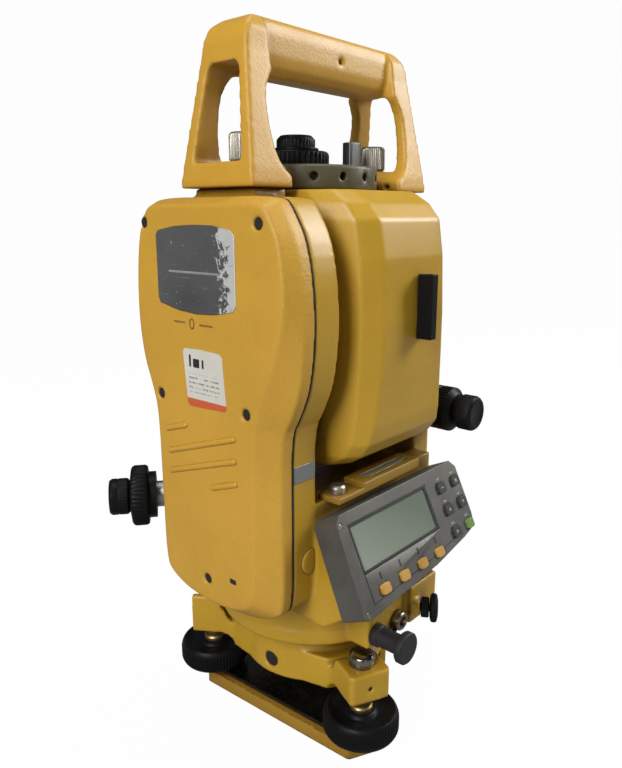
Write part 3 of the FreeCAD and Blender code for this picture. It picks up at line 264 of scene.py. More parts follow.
def printed_sheet(name):
    """White sticker with a faint grey line pattern and a red band along its lower end."""
    g = Graph(name)
    place = g.add("ShaderNodeSeparateXYZ", {"Vector": g.coords})
    height = place.outputs["Z"]
    across = place.outputs["Y"]
    rows = g.math("FRACT", g.math("MULTIPLY", height, 1 / 0.0021))
    line = g.math("MULTIPLY", g.step(rows, 0.30, 0.36), g.step(rows, 0.72, 0.66))
    words = g.step(g.noise(1.0, 1, vector=g.scaled(1, 900, 470)), 0.44, 0.5)
    inside = g.math("MULTIPLY", g.step(height, 0.1835, 0.184), g.step(height, 0.1922, 0.1917))
    inside = g.math("MULTIPLY", inside, g.math("MULTIPLY", g.step(across, -0.0128, -0.0124),
                                               g.step(across, 0.0070, 0.0066)))
    ink = g.math("MULTIPLY", g.math("MULTIPLY", line, words), inside)
    tone = g.mix(g.step(g.noise(50, 4), 0.3, 0.75), (0.70, 0.68, 0.62), (0.62, 0.59, 0.51))
    tone = g.mix(g.math("MULTIPLY", ink, 0.8), tone, (0.16, 0.16, 0.18))
    tone = g.mix(g.step(height, 0.1812, 0.1808), tone, (0.60, 0.11, 0.035))
    stain = g.step(g.noise(160, 5, 0.7), 0.62, 0.75)
    tone = g.mix(g.math("MULTIPLY", stain, 0.25), tone, (0.40, 0.30, 0.14))
    bump = g.bump(g.noise(300, 3), 0.00005, 0.5)
    return g.finish(base_color=tone, roughness=g.math("ADD", 0.3, g.math("MULTIPLY", stain, 0.3)),
                    normal=bump)


def screen_face(name):
    """Grey green liquid crystal panel with a painted reflection that lightens it towards its lower left, and
    a faint dot grid.
    """
    g = Graph(name)
    place = g.add("ShaderNodeSeparateXYZ", {"Vector": g.coords})
    # painted reflection: the panel turns lighter towards its lower left
    painted_reflection = g.step(g.math("ADD", place.outputs["X"], g.math("MULTIPLY", place.outputs["Z"], 1.6)), 0.20, 0.115)
    tone = g.mix(painted_reflection, (0.155, 0.185, 0.145), (0.34, 0.385, 0.315))
    tone = g.mix(g.math("MULTIPLY", g.noise(40, 3), 0.3), tone, (0.22, 0.26, 0.21))
    dots = g.math("MULTIPLY", g.cells(1600), 0.08)
    tone = g.mix(dots, tone, (0.1, 0.12, 0.1))
    smear = g.math("MULTIPLY", g.step(g.noise(30, 3, 0.5), 0.3, 0.8), 0.10)
    return g.finish(base_color=tone, roughness=g.math("ADD", 0.16, smear), ior=1.5,
                    normal=g.bump(g.noise(60, 2), 0.00004, 0.5))


ORANGE = (0.66, 0.365, 0.042)
ORANGE_2 = (0.57, 0.315, 0.034)
LEMON = (0.58, 0.345, 0.026)
LEMON_2 = (0.49, 0.285, 0.020)
LOOKS = {
    "casting_yellow": paint("casting_yellow", LEMON, LEMON_2, 0.30, 0.0, 0.0, 0.5, 0.25),
    "cover_orange": paint("cover_orange", ORANGE, ORANGE_2, 0.38, 0.6, 0.0, 0.5, 0.3),
    "chipped_yellow": paint("chipped_yellow", (0.55, 0.30, 0.030), (0.44, 0.24, 0.024), 0.36, 0.1, 1.9, 0.6,
                            0.3),
    "dark_steel": metal("dark_steel", (0.11, 0.11, 0.105), 0.2, (40, 40, 2000), 0.3),
    "steel": metal("steel", (0.50, 0.47, 0.41), 0.30, (60, 60, 2500), 0.3),
    "chrome": metal("chrome", (0.72, 0.71, 0.68), 0.20, (80, 80, 2500), 0.18),
    "brass": metal("brass", (0.50, 0.36, 0.15), 0.34, (60, 60, 3000), 0.45),
    "alu": metal("alu", (0.55, 0.55, 0.55), 0.33, (60, 60, 2500), 0.2),
    "knob_black": plastic("knob_black", (0.004, 0.004, 0.005), 0.42, 0.03, edge_wear_and_highlight=0.04, shine=0.17),
    "glass": clear("glass", (0.80, 0.86, 0.84)),
    "vial": clear("vial", (0.20, 0.22, 0.12), 0.05, 0.4),
    "lens": clear("lens", (0.22, 0.26, 0.42), 0.02, 0.6),
    # the display grey's high edge setting paints highlights along its bevels
    "display_grey": plastic("display_grey", (0.150, 0.146, 0.130), 0.44, 0.2, 1100, 0.0001, 0.8, flake=0.45),
    "lcd": screen_face("lcd"),
    "board": plastic("board", (0.02, 0.14, 0.05), 0.4, 0.1, 700),
    "soft_key": plastic("soft_key", (0.60, 0.32, 0.055), 0.5, 0.25, 700, 0.00006, 0.2),
    "dark_key": plastic("dark_key", (0.028, 0.028, 0.032), 0.55, 0.3, 700, 0.00006, 0.3),
    "green_key": plastic("green_key", (0.18, 0.31, 0.065), 0.5, 0.3, 700, 0.00006, 0.2),
    "plate_grey": foil("plate_grey"),
    "end_grey": paint("end_grey", (0.105, 0.096, 0.050), (0.085, 0.080, 0.043), 0.36, 0.0, 0.0, 0.4, 0.25),
    "cap_rubber": plastic("cap_rubber", (0.018, 0.018, 0.019), 0.6, 0.15, 600, 0.0001, 0.12),
}
STICKER = printed_sheet("sticker")
LABEL = metal("label_foil", (0.42, 0.43, 0.42), 0.35, (30, 900, 30), 0.2)
# dark rubber for the joint round the cover; the same dark is also painted shade at the bottoms of holes
SEAM_AND_HOLE_SHADE = plastic("seam_rubber_and_hole_shade", (0.015, 0.012, 0.01), 0.7, 0.2)
COVER_DARK = paint("cover_dark", (0.30, 0.17, 0.035), (0.24, 0.13, 0.03), 0.5, 0.4, 0.0, 0.4)
GRIP = metal("grip_steel", (0.19, 0.20, 0.21), 0.34, (60, 60, 900), 0.15)
DOME = metal("dome_steel", (0.30, 0.29, 0.27), 0.14, (60, 60, 900), 0.25)
TICKS = plastic("print_black", (0.02, 0.02, 0.02), 0.6, 0.1)
PRINT_PALE = plastic("print_pale", (0.35, 0.35, 0.33), 0.6, 0.1)

slots = {}
for entry in frame["record"]["subparts"]:
    slots[entry["node"]] = entry["material_slot"]
for name, thing in nodes.items():
    thing.data.materials.clear()
    thing.data.materials.append(LOOKS[slots[name]])


nodes["levelling_caps"].data.materials[0] = DOME
nodes["connector_barrels"].data.materials[0] = metal("dull_nickel", (0.26, 0.23, 0.17), 0.26, (80, 80, 2500),
                                                     0.3)
HANDLE_PAINT = paint("handle_enamel", ORANGE, ORANGE_2, 0.34, 0.35, 0.0, 0.5, 0.15)
nodes["handle"].data.materials[0] = HANDLE_PAINT
# the telescope's enamel carries painted shade over a wider reach, for the shadow between the standards
nodes["telescope_housing"].data.materials[0] = paint("telescope_shaded_enamel", LEMON, LEMON_2, 0.30, 0.0, 0.0, 0.5,
                                                     0.25, 0.09)
# darker copy of the casting yellow on the level holder: painted shade where the telescope shadows it
nodes["plate_level_holder"].data.materials[0] = paint("holder_shaded_enamel", (0.40, 0.235, 0.022),
                                                      (0.33, 0.19, 0.018),
                                                      0.32, 0.0, 0.3, 0.6, 0.25)


# ---------------------------------------------------------------- shapes
def smooth_faces(thing, angle=32):
    """Smooth shading with sharp edges above an angle in degrees."""
    mesh = thing.data
    shape = bmesh.new()
    shape.from_mesh(mesh)
    bmesh.ops.recalc_face_normals(shape, faces=shape.faces)
    for face in shape.faces:
        face.smooth = True
    for edge in shape.edges:
        if len(edge.link_faces) == 2:
            edge.smooth = edge.calc_face_angle() < math.radians(angle)
    shape.to_mesh(mesh)
    shape.free()


def piece(name, shape, look, body, angle=32):
    """Object from a bmesh, riding on a body named by a string; any other body value just bakes its transform
    in place.
    """
    mesh = bpy.data.meshes.new(name)
    shape.to_mesh(mesh)
    shape.free()
    thing = bpy.data.objects.new(name, mesh)
    bpy.context.scene.collection.objects.link(thing)
    mesh.materials.append(look)
    smooth_faces(thing, angle)
    if isinstance(body, str):
        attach(thing, body)
    else:
        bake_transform(thing)
    return thing


def cast(name, voxel, rounds, keep=0.45):
    """Round a casting's edges as foundry work has them: fine remesh, then relax."""
    thing = nodes[name]
    remesh = thing.modifiers.new("skin", "REMESH")
    remesh.mode = "VOXEL"
    remesh.voxel_size = voxel * MM
    remesh.use_smooth_shade = True
    relax = thing.modifiers.new("relax", "SMOOTH")
    relax.factor = 0.5
    relax.iterations = rounds
    if keep < 1:
        thin = thing.modifiers.new("thin", "DECIMATE")
        thin.ratio = keep


def crisp(name, width=0.3, angle=32):
    """Small machined or moulded part: fine edge bevels."""
    thing = nodes[name]
    weld = thing.modifiers.new("weld", "WELD")
    weld.merge_threshold = 0.000005
    bevel = thing.modifiers.new("bevel", "BEVEL")
    bevel.width = width * MM
    bevel.segments = 2
    bevel.limit_method = "ANGLE"
    bevel.angle_limit = math.radians(angle)
    bevel.use_clamp_overlap = True
    bevel.harden_normals = True


def frame_from(origin, along):
    """Matrix whose Z axis runs along a direction from an origin given in mm."""
    turn = Vector(along).normalized().to_track_quat("Z", "Y").to_matrix().to_4x4()
    return Matrix.Translation(Vector(origin) * MM) @ turn


def turned(name, origin, along, rings, look, body, ribs=0, depth=0.4, sides=96, angle=32):
    """Revolved part from rings of (radius, height, rib strength) in mm.

    The rings close into a loop unless the first or the last one meets the axis.
    """
    count = ribs * 4 if ribs else sides
    shape = bmesh.new()
    place = frame_from(origin, along)
    loops = []
    for ring in rings:
        radius, height = ring[0], ring[1]
        rib = ring[2] if len(ring) > 2 else 0
        if radius < 0.001:
            loops.append([shape.verts.new(place @ Vector((0, 0, height * MM)))])
            continue
        loop = []
        for k in range(count):
            dip = rib * depth if ribs and k % 4 in (2, 3) else 0
            r = (radius - dip) * MM
            a = 2 * math.pi * k / count
            loop.append(shape.verts.new(place @ Vector((r * math.cos(a), r * math.sin(a), height * MM))))
        loops.append(loop)
    pairs = list(zip(loops, loops[1:]))
    if len(loops[0]) > 1 and len(loops[-1]) > 1:
        pairs.append((loops[-1], loops[0]))
    for low, high in pairs:
        for k in range(count):
            corners = [low[k % len(low)], low[(k + 1) % len(low)], high[(k + 1) % len(high)],
                       high[k % len(high)]]
            unique = []
            for corner in corners:
                if corner not in unique:
                    unique.append(corner)
            if len(unique) > 2:
                shape.faces.new(unique)
    return piece(name, shape, look, body, angle)


def knob(node, origin, along, rings, ribs, depth=0.4, look="knob_black"):
    """Knurled piece that replaces a plain CAD node."""
    body = nodes[node]["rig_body"]
    thing = turned(node + "_knurled", origin, along, rings, LOOKS[look], body, ribs, depth)
    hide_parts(node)
    return thing


def prism(name, outline, low, high, place, look, body, bevel=0.15, segments=2):
    """Flat piece from an outline in mm in its own plane, low to high along the plane's normal."""
    shape = bmesh.new()
    bottom = [shape.verts.new(Vector((x, y, low)) * MM) for x, y in outline]
    top = [shape.verts.new(Vector((x, y, high)) * MM) for x, y in outline]
    shape.faces.new(list(reversed(bottom)))
    shape.faces.new(top)
    for k in range(len(outline)):
        after = (k + 1) % len(outline)
        shape.faces.new([bottom[k], bottom[after], top[after], top[k]])
    if bevel:
        rim = [e for e in shape.edges if e.verts[0] in top and e.verts[1] in top]
        bmesh.ops.bevel(shape, geom=rim, offset=bevel * MM, segments=segments, affect="EDGES", profile=0.6)
    bmesh.ops.transform(shape, matrix=place, verts=shape.verts)
    return piece(name, shape, look, body)


def rounded(x0, y0, x1, y1, r, steps=5):
    """Rectangle outline with round corners, in mm."""
    points = []
    for cx, cy, start in ((x1 - r, y0 + r, -90), (x1 - r, y1 - r, 0), (x0 + r, y1 - r, 90),
                          (x0 + r, y0 + r, 180)):
        for k in range(steps + 1):
            a = math.radians(start + 90 * k / steps)
            points.append((cx + r * math.cos(a), cy + r * math.sin(a)))
    return points


def tube(name, path, radius, look, body, closed=False, sides=10, squash=1.0, flat=None):
    """Round bar along points in mm, with flat end caps; squash flattens it along the flat direction."""
    shape = bmesh.new()
    count = len(path)
    loops = []
    points = [Vector(p) for p in path]
    for k, p in enumerate(points):
        before = points[k - 1] if (k > 0 or closed) else p
        after = points[(k + 1) % count] if (k < count - 1 or closed) else p
        way = (after - before).normalized()
        guide = Vector(flat) if flat else (Z_AXIS if abs(way.z) < 0.8 else X_AXIS)
        u = way.cross(guide).normalized()
        v = u.cross(way).normalized()
        loop = []
        for j in range(sides):
            a = 2 * math.pi * j / sides
            r = radius[k] if isinstance(radius, (list, tuple)) else radius
            loop.append(shape.verts.new((p + u * (r * math.cos(a)) + v * (r * squash * math.sin(a))) * MM))
        loops.append(loop)
    pairs = list(zip(loops, loops[1:]))
    if closed:
        pairs.append((loops[-1], loops[0]))
    for low, high in pairs:
        for j in range(sides):
            shape.faces.new([low[j], low[(j + 1) % sides], high[(j + 1) % sides], high[j]])
    if not closed:
        shape.faces.new(list(reversed(loops[0])))
        shape.faces.new(loops[-1])
    return piece(name, shape, look, body, 50)


def capsule(name, start, end, radius, look, body, squash=1.0, flat=None, steps=5):
    """Straight bar with round ends."""
    a, b = Vector(start), Vector(end)
    way = (b - a).normalized()
    path, radii = [], []
    for k in range(steps):
        t = math.radians(90 * (k + 0.4) / steps)
        path.append(a - way * radius * math.cos(t))
        radii.append(radius * math.sin(t))
    path += [a, b]
    radii += [radius, radius]
    for k in reversed(range(steps)):
        t = math.radians(90 * (k + 0.4) / steps)
        path.append(b + way * radius * math.cos(t))
        radii.append(radius * math.sin(t))
    return tube(name, path, radii, look, body, sides=12, squash=squash, flat=flat)


# ---------------------------------------------------------------- castings and small parts
cast("side_cover", 0.7, 8)
cast("alidade_frame", 0.9, 6, 0.4)
cast("telescope_housing", 0.8, 5, 0.4)
cast("handle", 0.8, 9)
cast("battery_pack", 0.8, 6)
cast("tribrach_body", 0.7, 6)
crisp("base_plate", 0.8)
cast("instrument_base", 0.8, 2)
crisp("display_housing", 0.8)
for name in ("spring_plate", "name_plate", "plate_level_holder", "telescope_end_plate",
             "sight_collimators", "battery_latch", "tribrach_lock_lever", "lcd_window", "main_board",
             "connector_barrels", "power_connector_cap", "circular_level_cup", "plate_level_screw",
             "case_screws", "levelling_caps", "vertical_axis_shaft", "tribrach_lock_ring",
             "trunnion_bearings", "trunnion_axle", "plummet_tube", "objective_lens"):
    crisp(name)
for name in slots:
    if "_key_" in name or name == "power_key":
        crisp(name, 0.9, 50)
for foot in ("front", "left", "right"):
    crisp("levelling_spindle_" + foot)

# ---------------------------------------------------------------- knobs with real knurls
TRIBRACH_TURN = 4.5
FOOT_CIRCLE = 56.7
FEET = {"front": 240, "left": 120, "right": 0}
for foot, turn in FEET.items():
    a = math.radians(turn + TRIBRACH_TURN)
    knob("levelling_knob_" + foot, (FOOT_CIRCLE * math.cos(a), FOOT_CIRCLE * math.sin(a), 0), Z_AXIS,
         [(4.02, 12), (8, 12), (9, 14), (16.4, 14), (17.6, 14.4), (18.1, 15.2, 0.5), (18.6, 16.4, 1),
          (18.6, 22.4, 1), (18.2, 23.8, 0.5), (17.6, 25), (16.9, 25.8), (16.2, 26), (15.4, 25.8),
          (14.4, 25.1), (12.5, 24.3), (10, 23.9), (8.4, 24.3), (7.4, 25.6), (6.6, 26), (4.02, 26)], 64, 0.45)


def clamp(name, origin, along, ring_r, knob_r, mid):
    """Clamp ring with the tangent knob in front of it, on one axis."""
    knob(name + "_clamp_ring", origin, along,
         [(3.1, 0.9), (ring_r - 1.2, 0.9), (ring_r, 1.8, 1), (ring_r, 3.6, 1), (ring_r - 1, 4.1),
          (ring_r - 1, 4.9),
          (ring_r, 5.4, 1), (ring_r, mid - 3, 1), (ring_r - 1, mid - 2), (ring_r - 3, mid), (3.1, mid)], 40,
         0.35)
    knob(name + "_tangent_knob", origin, along,
         [(0, -12), (3, -12), (3, mid + 0.3), (6.6, mid + 0.3), (6.6, mid + 2), (knob_r - 0.8, mid + 2.4),
          (knob_r, mid + 3.2, 1), (knob_r, mid + 9.4, 1), (knob_r - 0.4, mid + 10.2),
          (knob_r - 1, mid + 10.9),
          (knob_r - 2.6, mid + 11.35), (knob_r - 3.2, mid + 11.1), (0, mid + 11.1)], 48, 0.3)


clamp("vertical", (59, -34.4, 157), -Y_AXIS, 11.75, 9.25, 15)
SLOW = Vector((math.cos(math.radians(-58)), math.sin(math.radians(-58)), 0))
SLOW_FOOT = Vector((9.5, -58, 67.3)) + SLOW * 3
knob("horizontal_clamp_ring", SLOW_FOOT, SLOW,
     [(2.1, 0.3), (4.5, 0.3), (5, 0.9, 1), (5, 3.7, 1), (4.5, 4.3), (2.1, 4.3)], 24, 0.3)
knob("horizontal_tangent_knob", SLOW_FOOT, SLOW,
     [(0, -5), (2, -5), (2, 4.6), (4.6, 4.6), (6.4, 5.1), (7, 5.8, 1), (7, 7.4, 1), (6.4, 8.2), (4, 8.7),
      (0, 8.7)], 32, 0.3)
PLUMMET = Vector((math.cos(math.radians(142)), math.sin(math.radians(142)), 0))
knob("plummet_focus_ring", (0, 0, 121), PLUMMET,
     [(6.5, 81), (11.5, 81), (11.5, 84.5), (14.2, 84.9), (15, 85.9, 1), (15, 91.4, 1), (14.4, 92.5),
      (13.6, 93),
      (10, 93.6), (6.5, 93.6)], 44, 0.55)
knob("plummet_eyepiece", (0, 0, 121), PLUMMET,
     [(2.4, 84), (3.95, 84), (3.95, 94.2), (8, 94.2), (8.8, 94.9), (9, 95.6, 1), (9, 99, 1), (8.8, 99.6),
      (9, 100.2), (9, 102.6), (8.2, 103.8), (6.4, 103.8), (5, 101), (2.4, 100)], 40, 0.3)
SIGHT = (0, 12, 0)
knob("focusing_ring", SIGHT, Z_AXIS,
     [(10, 270.3), (13.9, 270.3), (13.9, 279.6), (15.2, 279.6), (16, 280.3, 1), (16, 285.4, 1), (15.6, 286.4),
      (14.8, 287), (10, 287)], 40, 0.6)
knob("eyepiece", SIGHT, Z_AXIS,
     [(3.5, 272.3), (9.9, 272.3), (9.9, 287.6), (10.9, 287.6), (10.9, 288.6), (9.3, 289, 1), (9.3, 292.3, 1),
      (8.9, 293), (7.5, 294.4), (6.2, 294.5), (5, 292.5), (3.5, 292.1)], 36, 0.3)
for side, x in (("left", -46), ("right", 46)):
    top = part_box("handle_screw_" + side)[1].z / MM
    knob("handle_screw_" + side, (x, 0, 0), Z_AXIS,
         [(0, 262), (2.2, 262), (3, 263), (3, 279.6), (5.2, 279.6), (6.2, 280.4, 1), (6.2, top - 1.4, 1),
          (5.8, top - 0.5), (5.2, top), (0, top)], 36, 0.35, "steel")

# ---------------------------------------------------------------- cover details
# cover face plane: outline x runs along +Y, outline y along +Z, and height outwards along -X
COVER_FACE_X = -0.0747
COVER = Matrix(((0, 0, -1, COVER_FACE_X), (1, 0, 0, 0), (0, 1, 0, 0), (0, 0, 0, 1)))
FLANK = [(-42, 261.4), (-38, 265), (32, 265), (36, 261.4), (44.6, 246.7), (48, 219), (45.7, 192.6),
         (40, 178.7),
         (35, 170), (35, 94), (31, 87), (13, 81), (-19, 81), (-37, 87), (-41, 94), (-41, 170), (-46, 178.7),
         (-51.7, 192.6), (-54, 219), (-50.6, 246.7)]


def flowing(points, cut):
    """Cut every corner of an outline twice, as the cover's own outline is drawn."""
    for longest in (cut, cut * 0.4):
        cornered = []
        for (y0, z0), (y1, z1) in zip(points, points[1:] + points[:1]):
            share = min(0.25, longest / math.hypot(y1 - y0, z1 - z0))
            cornered.append((y0 + (y1 - y0) * share, z0 + (z1 - z0) * share))
            cornered.append((y1 - (y1 - y0) * share, z1 - (z1 - z0) * share))
        points = cornered
    return points


def inset(outline, amount):
    """Outline moved inwards by an amount in mm."""
    moved = []
    count = len(outline)
    area = sum(outline[k][0] * outline[(k + 1) % count][1] - outline[(k + 1) % count][0] * outline[k][1]
               for k in range(count))
    sign = 1 if area > 0 else -1
    for k in range(count):
        p, q, r = (Vector(outline[(k + d) % count]) for d in (-1, 0, 1))
        n1 = Vector((-(q - p).y, (q - p).x)).normalized() * sign
        n2 = Vector((-(r - q).y, (r - q).x)).normalized() * sign
        n = (n1 + n2).normalized()
        moved.append(q + n * (amount / max(0.4, n.dot(n1))))
    return moved


gasket = inset(flowing(FLANK, 9), 0.5)
tube("cover_gasket", [(-61, y, z) for y, z in gasket], 0.55, SEAM_AND_HOLE_SHADE, "alidade", closed=True,
     sides=8)

prism("index_bar_back", rounded(8.0, 213.2, 15.4, 213.9, 0.3), -0.4, 0.14, COVER, COVER_DARK, "alidade")
prism("index_bar_front", rounded(-9.4, 213.0, -1.2, 213.7, 0.3), -0.4, 0.14, COVER, COVER_DARK, "alidade")
ring = [(-74.72, 3.5 + 1.35 * math.cos(math.radians(a)), 213.4 + 2.1 * math.sin(math.radians(a)))
        for a in range(0, 360, 20)]
tube("index_ring", ring, 0.3, COVER_DARK, "alidade", closed=True, sides=8)
# dark discs at the bottom of the cover's screw wells: painted shade in the holes
for index, (y, z) in enumerate(((-36.3, 254.7), (34, 254.7), (-27.6, 179.3), (27.6, 179.3), (0, 96.5))):
    turned("screw_well_shade_%d" % index, (-73.7, y, z), -X_AXIS, [(0, -0.6), (2.35, -0.6), (2.35, 0), (0, 0)],
           SEAM_AND_HOLE_SHADE,
           "alidade", sides=40)
prism("plate_rule", rounded(-15, 234.3, 17, 235.3, 0.3), 0.3, 0.48, COVER, PRINT_PALE, "alidade",
      0.05, 1)
for index, (start, end) in enumerate((((23.2, 163.8), (10.5, 167.8)), ((22.2, 153.5), (-20.5, 167.5)),
                                      ((22.2, 143.8), (-20.7, 157.9)), ((-6.1, 142.5), (-20.9, 147.8)))):
    capsule("cover_rib_%d" % index, (-74.7, *start), (-74.7, *end), 1.35, LOOKS["cover_orange"], "alidade",
            squash=0.85, flat=(1, 0, 0))
sheet = [(10.2, 200.9), (9.2, 202.4), (-2, 202.9), (-13, 202.4), (-14.6, 201), (-16.6, 180), (-15.8, 178.3),
         (-4, 177.7), (6.6, 177.2), (7.9, 178.4)]
prism("info_label", sheet, -0.3, 0.14, COVER, STICKER, "alidade", 0.05, 1)
for index, (y0, z0, y1, z1) in enumerate(((5.0, 194.8, 6.2, 200.2), (-0.4, 194.8, 3.6, 198.6),
                                          (-3.2, 194.8, -2.0, 198.6))):
    prism("sheet_mark_%d" % index, rounded(y0, z0, y1, z1, 0.5), -0.1, 0.2, COVER, TICKS, "alidade",
          0.03, 1)
prism("small_mark", rounded(-19.4, 100.3, -15.6, 102.6, 0.5), -0.3, 0.12, COVER, TICKS, "alidade",
      0.05, 1)
STAND_FRONT = Matrix(((1, 0, 0, 0), (0, 0, -1, -0.041), (0, 1, 0, 0), (0, 0, 0, 1)))
prism("serial_label", rounded(-60.2, 148.4, -47.2, 155.9, 0.4), -0.2, 0.14, STAND_FRONT, LABEL, "alidade",
      0.05, 1)
turned("brow_plug_seam", (-49.9, -41, 110), -Y_AXIS, [(0, -1), (6.3, -1), (6.3, 0.12), (0, 0.12)],
       COVER_DARK, "alidade", sides=64)
turned("brow_plug", (-49.9, -41, 110), -Y_AXIS,
       [(0, -1), (5.8, -1), (5.8, 0.3), (5.4, 0.55), (4.0, 0.75), (0, 0.85)], LOOKS["casting_yellow"],
       "alidade", sides=64)

# ---------------------------------------------------------------- display details
# display face plane: outline x along +X, outline y up the sloping face
SLOPE = math.radians(64.2)
SC, SS = math.cos(SLOPE), math.sin(SLOPE)
SCREEN = Matrix(((1, 0, 0, 0), (0, SC, -SS, -0.0725), (0, SS, SC, 0.0939), (0, 0, 0, 1)))


def frame_strip(name, outer, inner, low, high, look):
    """Flat frame between two outlines with the same number of points, on the display face."""
    shape = bmesh.new()
    count = len(outer)
    loops = []
    for outline, level in ((outer, low), (outer, high), (inner, high), (inner, low)):
        loops.append([shape.verts.new(Vector((x, y, level)) * MM) for x, y in outline])
    for a in range(4):
        low_loop, high_loop = loops[a], loops[(a + 1) % 4]
        for k in range(count):
            n = (k + 1) % count
            shape.faces.new([low_loop[k], low_loop[n], high_loop[n], high_loop[k]])
    bmesh.ops.transform(shape, matrix=SCREEN, verts=shape.verts)
    return piece(name, shape, look, "alidade")


frame_strip("lcd_bezel", rounded(-43.0, 16.3, 18.4, 38.6, 0.8), rounded(-41.6, 17.6, 17.0, 37.4, 0.8), -0.9,
            -0.25,
            TICKS)
for index in range(4):
    across = -33.3 + 14.92 * index
    prism("soft_tick_%d" % index, rounded(across - 0.5, 11.2, across + 0.5, 14.4, 0.2), -0.1, 0.06, SCREEN,
          TICKS,
          "alidade", 0.02, 1)
for index, (across, along) in enumerate(((30.1, 33.6), (43.3, 33.6), (30.1, 22.25), (43.3, 22.25),
                                         (30.1, 10.7),
                                         (43.3, 10.7))):
    prism("key_legend_%d" % index, rounded(across - 1.6, along + 4.0, across + 1.4, along + 4.9, 0.2), -0.1,
          0.05,
          SCREEN, PRINT_PALE, "alidade", 0.02, 1)
for index, (across, along) in enumerate(((-48.25, 1.1), (-46.85, 39.5))):
    spot = SCREEN @ (Vector((across, along, -2.2)) * MM) / MM
    turned("case_screw_%d" % index, spot, SCREEN.to_3x3() @ Z_AXIS,
           [(0, 0), (1.2, 0), (1.2, 1.6), (0.9, 1.9), (0.55, 1.95), (0.4, 1.3), (0, 1.3)], LOOKS["steel"],
           "alidade", sides=32)

# pale marks on the menu keys: plain bars and triangles
MARKS = [[(-1.2, -0.35), (1.2, -0.35), (1.2, 0.35), (-1.2, 0.35)],
         [(-1, -0.9), (1, -0.9), (1, 0.9), (-1, 0.9)],
         [(-1.2, -0.8), (1.2, -0.8), (0, 1.0)], [(-1.2, 0.8), (0, -1.0), (1.2, 0.8)],
         [(-0.9, -1.1), (0.9, 0), (-0.9, 1.1)]]
for index, (across, along) in enumerate(((30.1, 33.6), (43.3, 33.6), (30.1, 22.25), (43.3, 22.25),
                                         (30.1, 10.7))):
    outline = [(across + x, along + y) for x, y in MARKS[index]]
    prism("key_mark_%d" % index, outline, 1.2, 1.36, SCREEN, PRINT_PALE, "menu_button_%d" % (index + 1),
          0.02, 1)

# dark line round the key panel, left of and below the window
edge_line = [(-42.7, 16.2), (-42.7, 3.4), (8, 6.2), (35.5, 9.2)]
edge_path = [SCREEN @ (Vector((x, y, 0.02)) * MM) / MM for x, y in edge_line]
tube("panel_edge", edge_path, 0.2, TICKS, "alidade", sides=8)

# shaded bottoms of the open holes in the tribrach
for index, (reach, degrees, level, radius) in enumerate(((36.6, 184.5, 36.5, 3.85), (65.6, 4.5, 41.7, 1.15),
                                                         (65.6, 124.5, 41.7, 1.15),
                                                         (65.6, 244.5, 41.7, 1.15))):
    way = Vector((math.cos(math.radians(degrees)), math.sin(math.radians(degrees)), 0))
    turned("hole_shade_%d" % index, way * reach + Vector((0, 0, level)), way,
           [(0, -0.4), (radius, -0.4), (radius, 0), (0, 0)], SEAM_AND_HOLE_SHADE, "tribrach", sides=40)

# blued steel grips standing on the eye end plate
prism("eye_grip_0", rounded(21.2, -4.9, 29.55, 0.45, 1.2), 278.5, 292.15, Matrix(), GRIP, "telescope",
      0.7, 3)
prism("eye_grip_1", rounded(-29.2, 14.45, -20.9, 19.8, 1.2), 278.5, 292.15, Matrix(), GRIP, "telescope",
      0.7, 3)

# cable tab that keeps the connector cap to the frame
strap = [(-19.5, -60.5, 59.4), (-16, -59, 58.4), (-11, -57.5, 58.6), (-6, -56.6, 60), (-2.5, -56, 61.5)]
ACROSS_CAP = ("alidade", "connector_cap", Vector((-2.5, -56, 61.5)) * MM, Vector((-16, -59, 58.4)) * MM)
tube("cap_tether", strap, [1.0, 1.3, 1.3, 1.3, 1.1], LOOKS["cap_rubber"], ACROSS_CAP,
     squash=0.55, sides=12)

# ---------------------------------------------------------------- stage, light, camera
VIEW_TURN = -48.9
PHOTO_HEIGHT = 768
FOCAL_PX = 700.55
SENSOR = 36


def stage_sweep():
    """White paper floor that curves up behind the instrument."""
    shape = bmesh.new()
    profile = [(-3.0, 0.0), (1.4, 0.0)]
    for k in range(1, 13):
        a = math.radians(90 * k / 12)
        profile.append((1.4 + 0.9 * math.sin(a), 0.9 - 0.9 * math.cos(a)))
    profile.append((2.3, 3.2))
    facing = Matrix.Rotation(math.radians(VIEW_TURN), 4, "Z")
    rows = []
    for y, z in profile:
        rows.append([shape.verts.new(facing @ Vector((x, y, z - 0.0002))) for x in (-4.5, 4.5)])
    for low, high in zip(rows, rows[1:]):
        shape.faces.new([low[0], low[1], high[1], high[0]])
    mesh = bpy.data.meshes.new("studio_sweep")
    shape.to_mesh(mesh)
    shape.free()
    sweep = bpy.data.objects.new("studio_sweep", mesh)
    bpy.context.scene.collection.objects.link(sweep)
    for face in mesh.polygons:
        face.use_smooth = True
    g = Graph("studio_paper")
    g.finish(base_color=g.mix(g.noise(3, 2), (0.30, 0.30, 0.30), (0.28, 0.28, 0.28)), roughness=0.9)
    glow = g.add("ShaderNodeEmission", {"Color": (1, 1, 1), "Strength": 1.04})
    blend = g.add("ShaderNodeMixShader", {0: g.math("MULTIPLY", g.add("ShaderNodeLightPath").outputs[0],
                                                    0.94)})
    g.tree.links.new(g.shader.outputs[0], blend.inputs[1])
    g.tree.links.new(glow.outputs[0], blend.inputs[2])
    g.tree.links.new(blend.outputs[0], g.output.inputs[0])
    mesh.materials.append(g.mat)


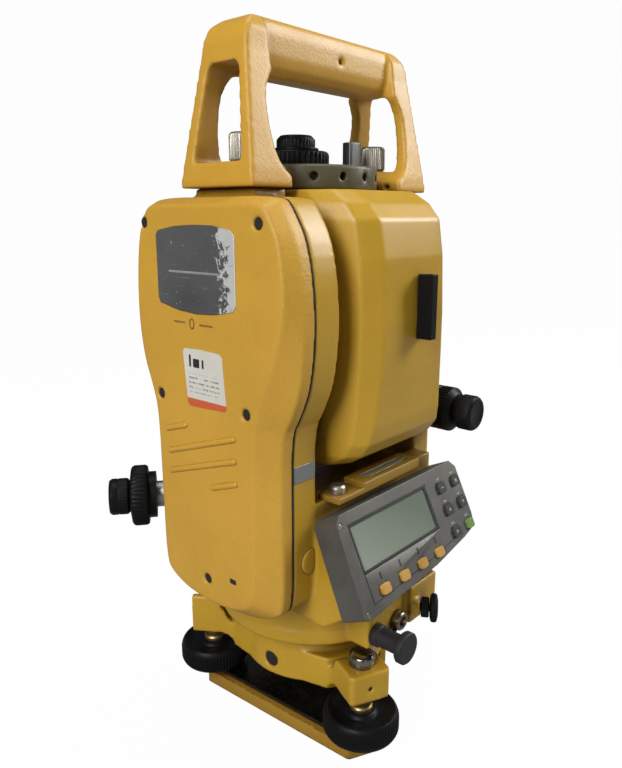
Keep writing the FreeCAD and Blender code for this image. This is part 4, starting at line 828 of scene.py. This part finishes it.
def soft_light(name, place, target, size, power, colour=(1, 1, 1)):
    """Rectangular area light aimed at a target."""
    data = bpy.data.lights.new(name, "AREA")
    data.shape = "RECTANGLE"
    data.size, data.size_y = size
    data.energy = power
    data.color = colour
    lamp = bpy.data.objects.new(name, data)
    bpy.context.scene.collection.objects.link(lamp)
    lamp.location = place
    lamp.rotation_euler = (Vector(target) - Vector(place)).to_track_quat("-Z", "Y").to_euler()


stage_sweep()
MIDDLE = (0, 0, 0.17)
soft_light("key", (-1.35, -0.28, 0.95), MIDDLE, (0.5, 0.9), 21)
soft_light("front", (1.2, -0.75, 1.0), MIDDLE, (0.5, 0.8), 21)
soft_light("top", (0.15, 0.1, 1.7), MIDDLE, (0.9, 0.9), 8)
soft_light("strip", (-0.55, -1.3, 0.45), MIDDLE, (0.10, 1.2), 0.9)
world = bpy.data.worlds.new("studio")
bpy.context.scene.world = world
world.use_nodes = True
sky = world.node_tree.nodes["Background"]
sky.inputs[0].default_value = (1, 1, 1, 1)
seen = world.node_tree.nodes.new("ShaderNodeMath")
seen.operation = "MULTIPLY_ADD"
seen.inputs[1].default_value = 0.92
seen.inputs[2].default_value = 0.08
world.node_tree.links.new(world.node_tree.nodes.new("ShaderNodeLightPath").outputs[0], seen.inputs[0])
world.node_tree.links.new(seen.outputs[0], sky.inputs[1])
bpy.context.scene.view_settings.view_transform = "Standard"

camera_data = bpy.data.cameras.new("camera")
camera_data.lens = FOCAL_PX / PHOTO_HEIGHT * SENSOR
camera_data.sensor_width = SENSOR
camera_data.clip_start = 0.01
camera = bpy.data.objects.new("camera", camera_data)
bpy.context.scene.collection.objects.link(camera)
right = Vector((0.6575, -0.7534, 0)).normalized()
ahead = Vector((0.7320, 0.6388, -0.2365)).normalized()
up = right.cross(ahead).normalized()
right = ahead.cross(up)
camera.matrix_world = Matrix.Translation(Vector((-261.65, -226.00, 258.42)) * MM) @ \
    Matrix((right, up, -ahead)).transposed().to_4x4()
bpy.context.scene.camera = camera
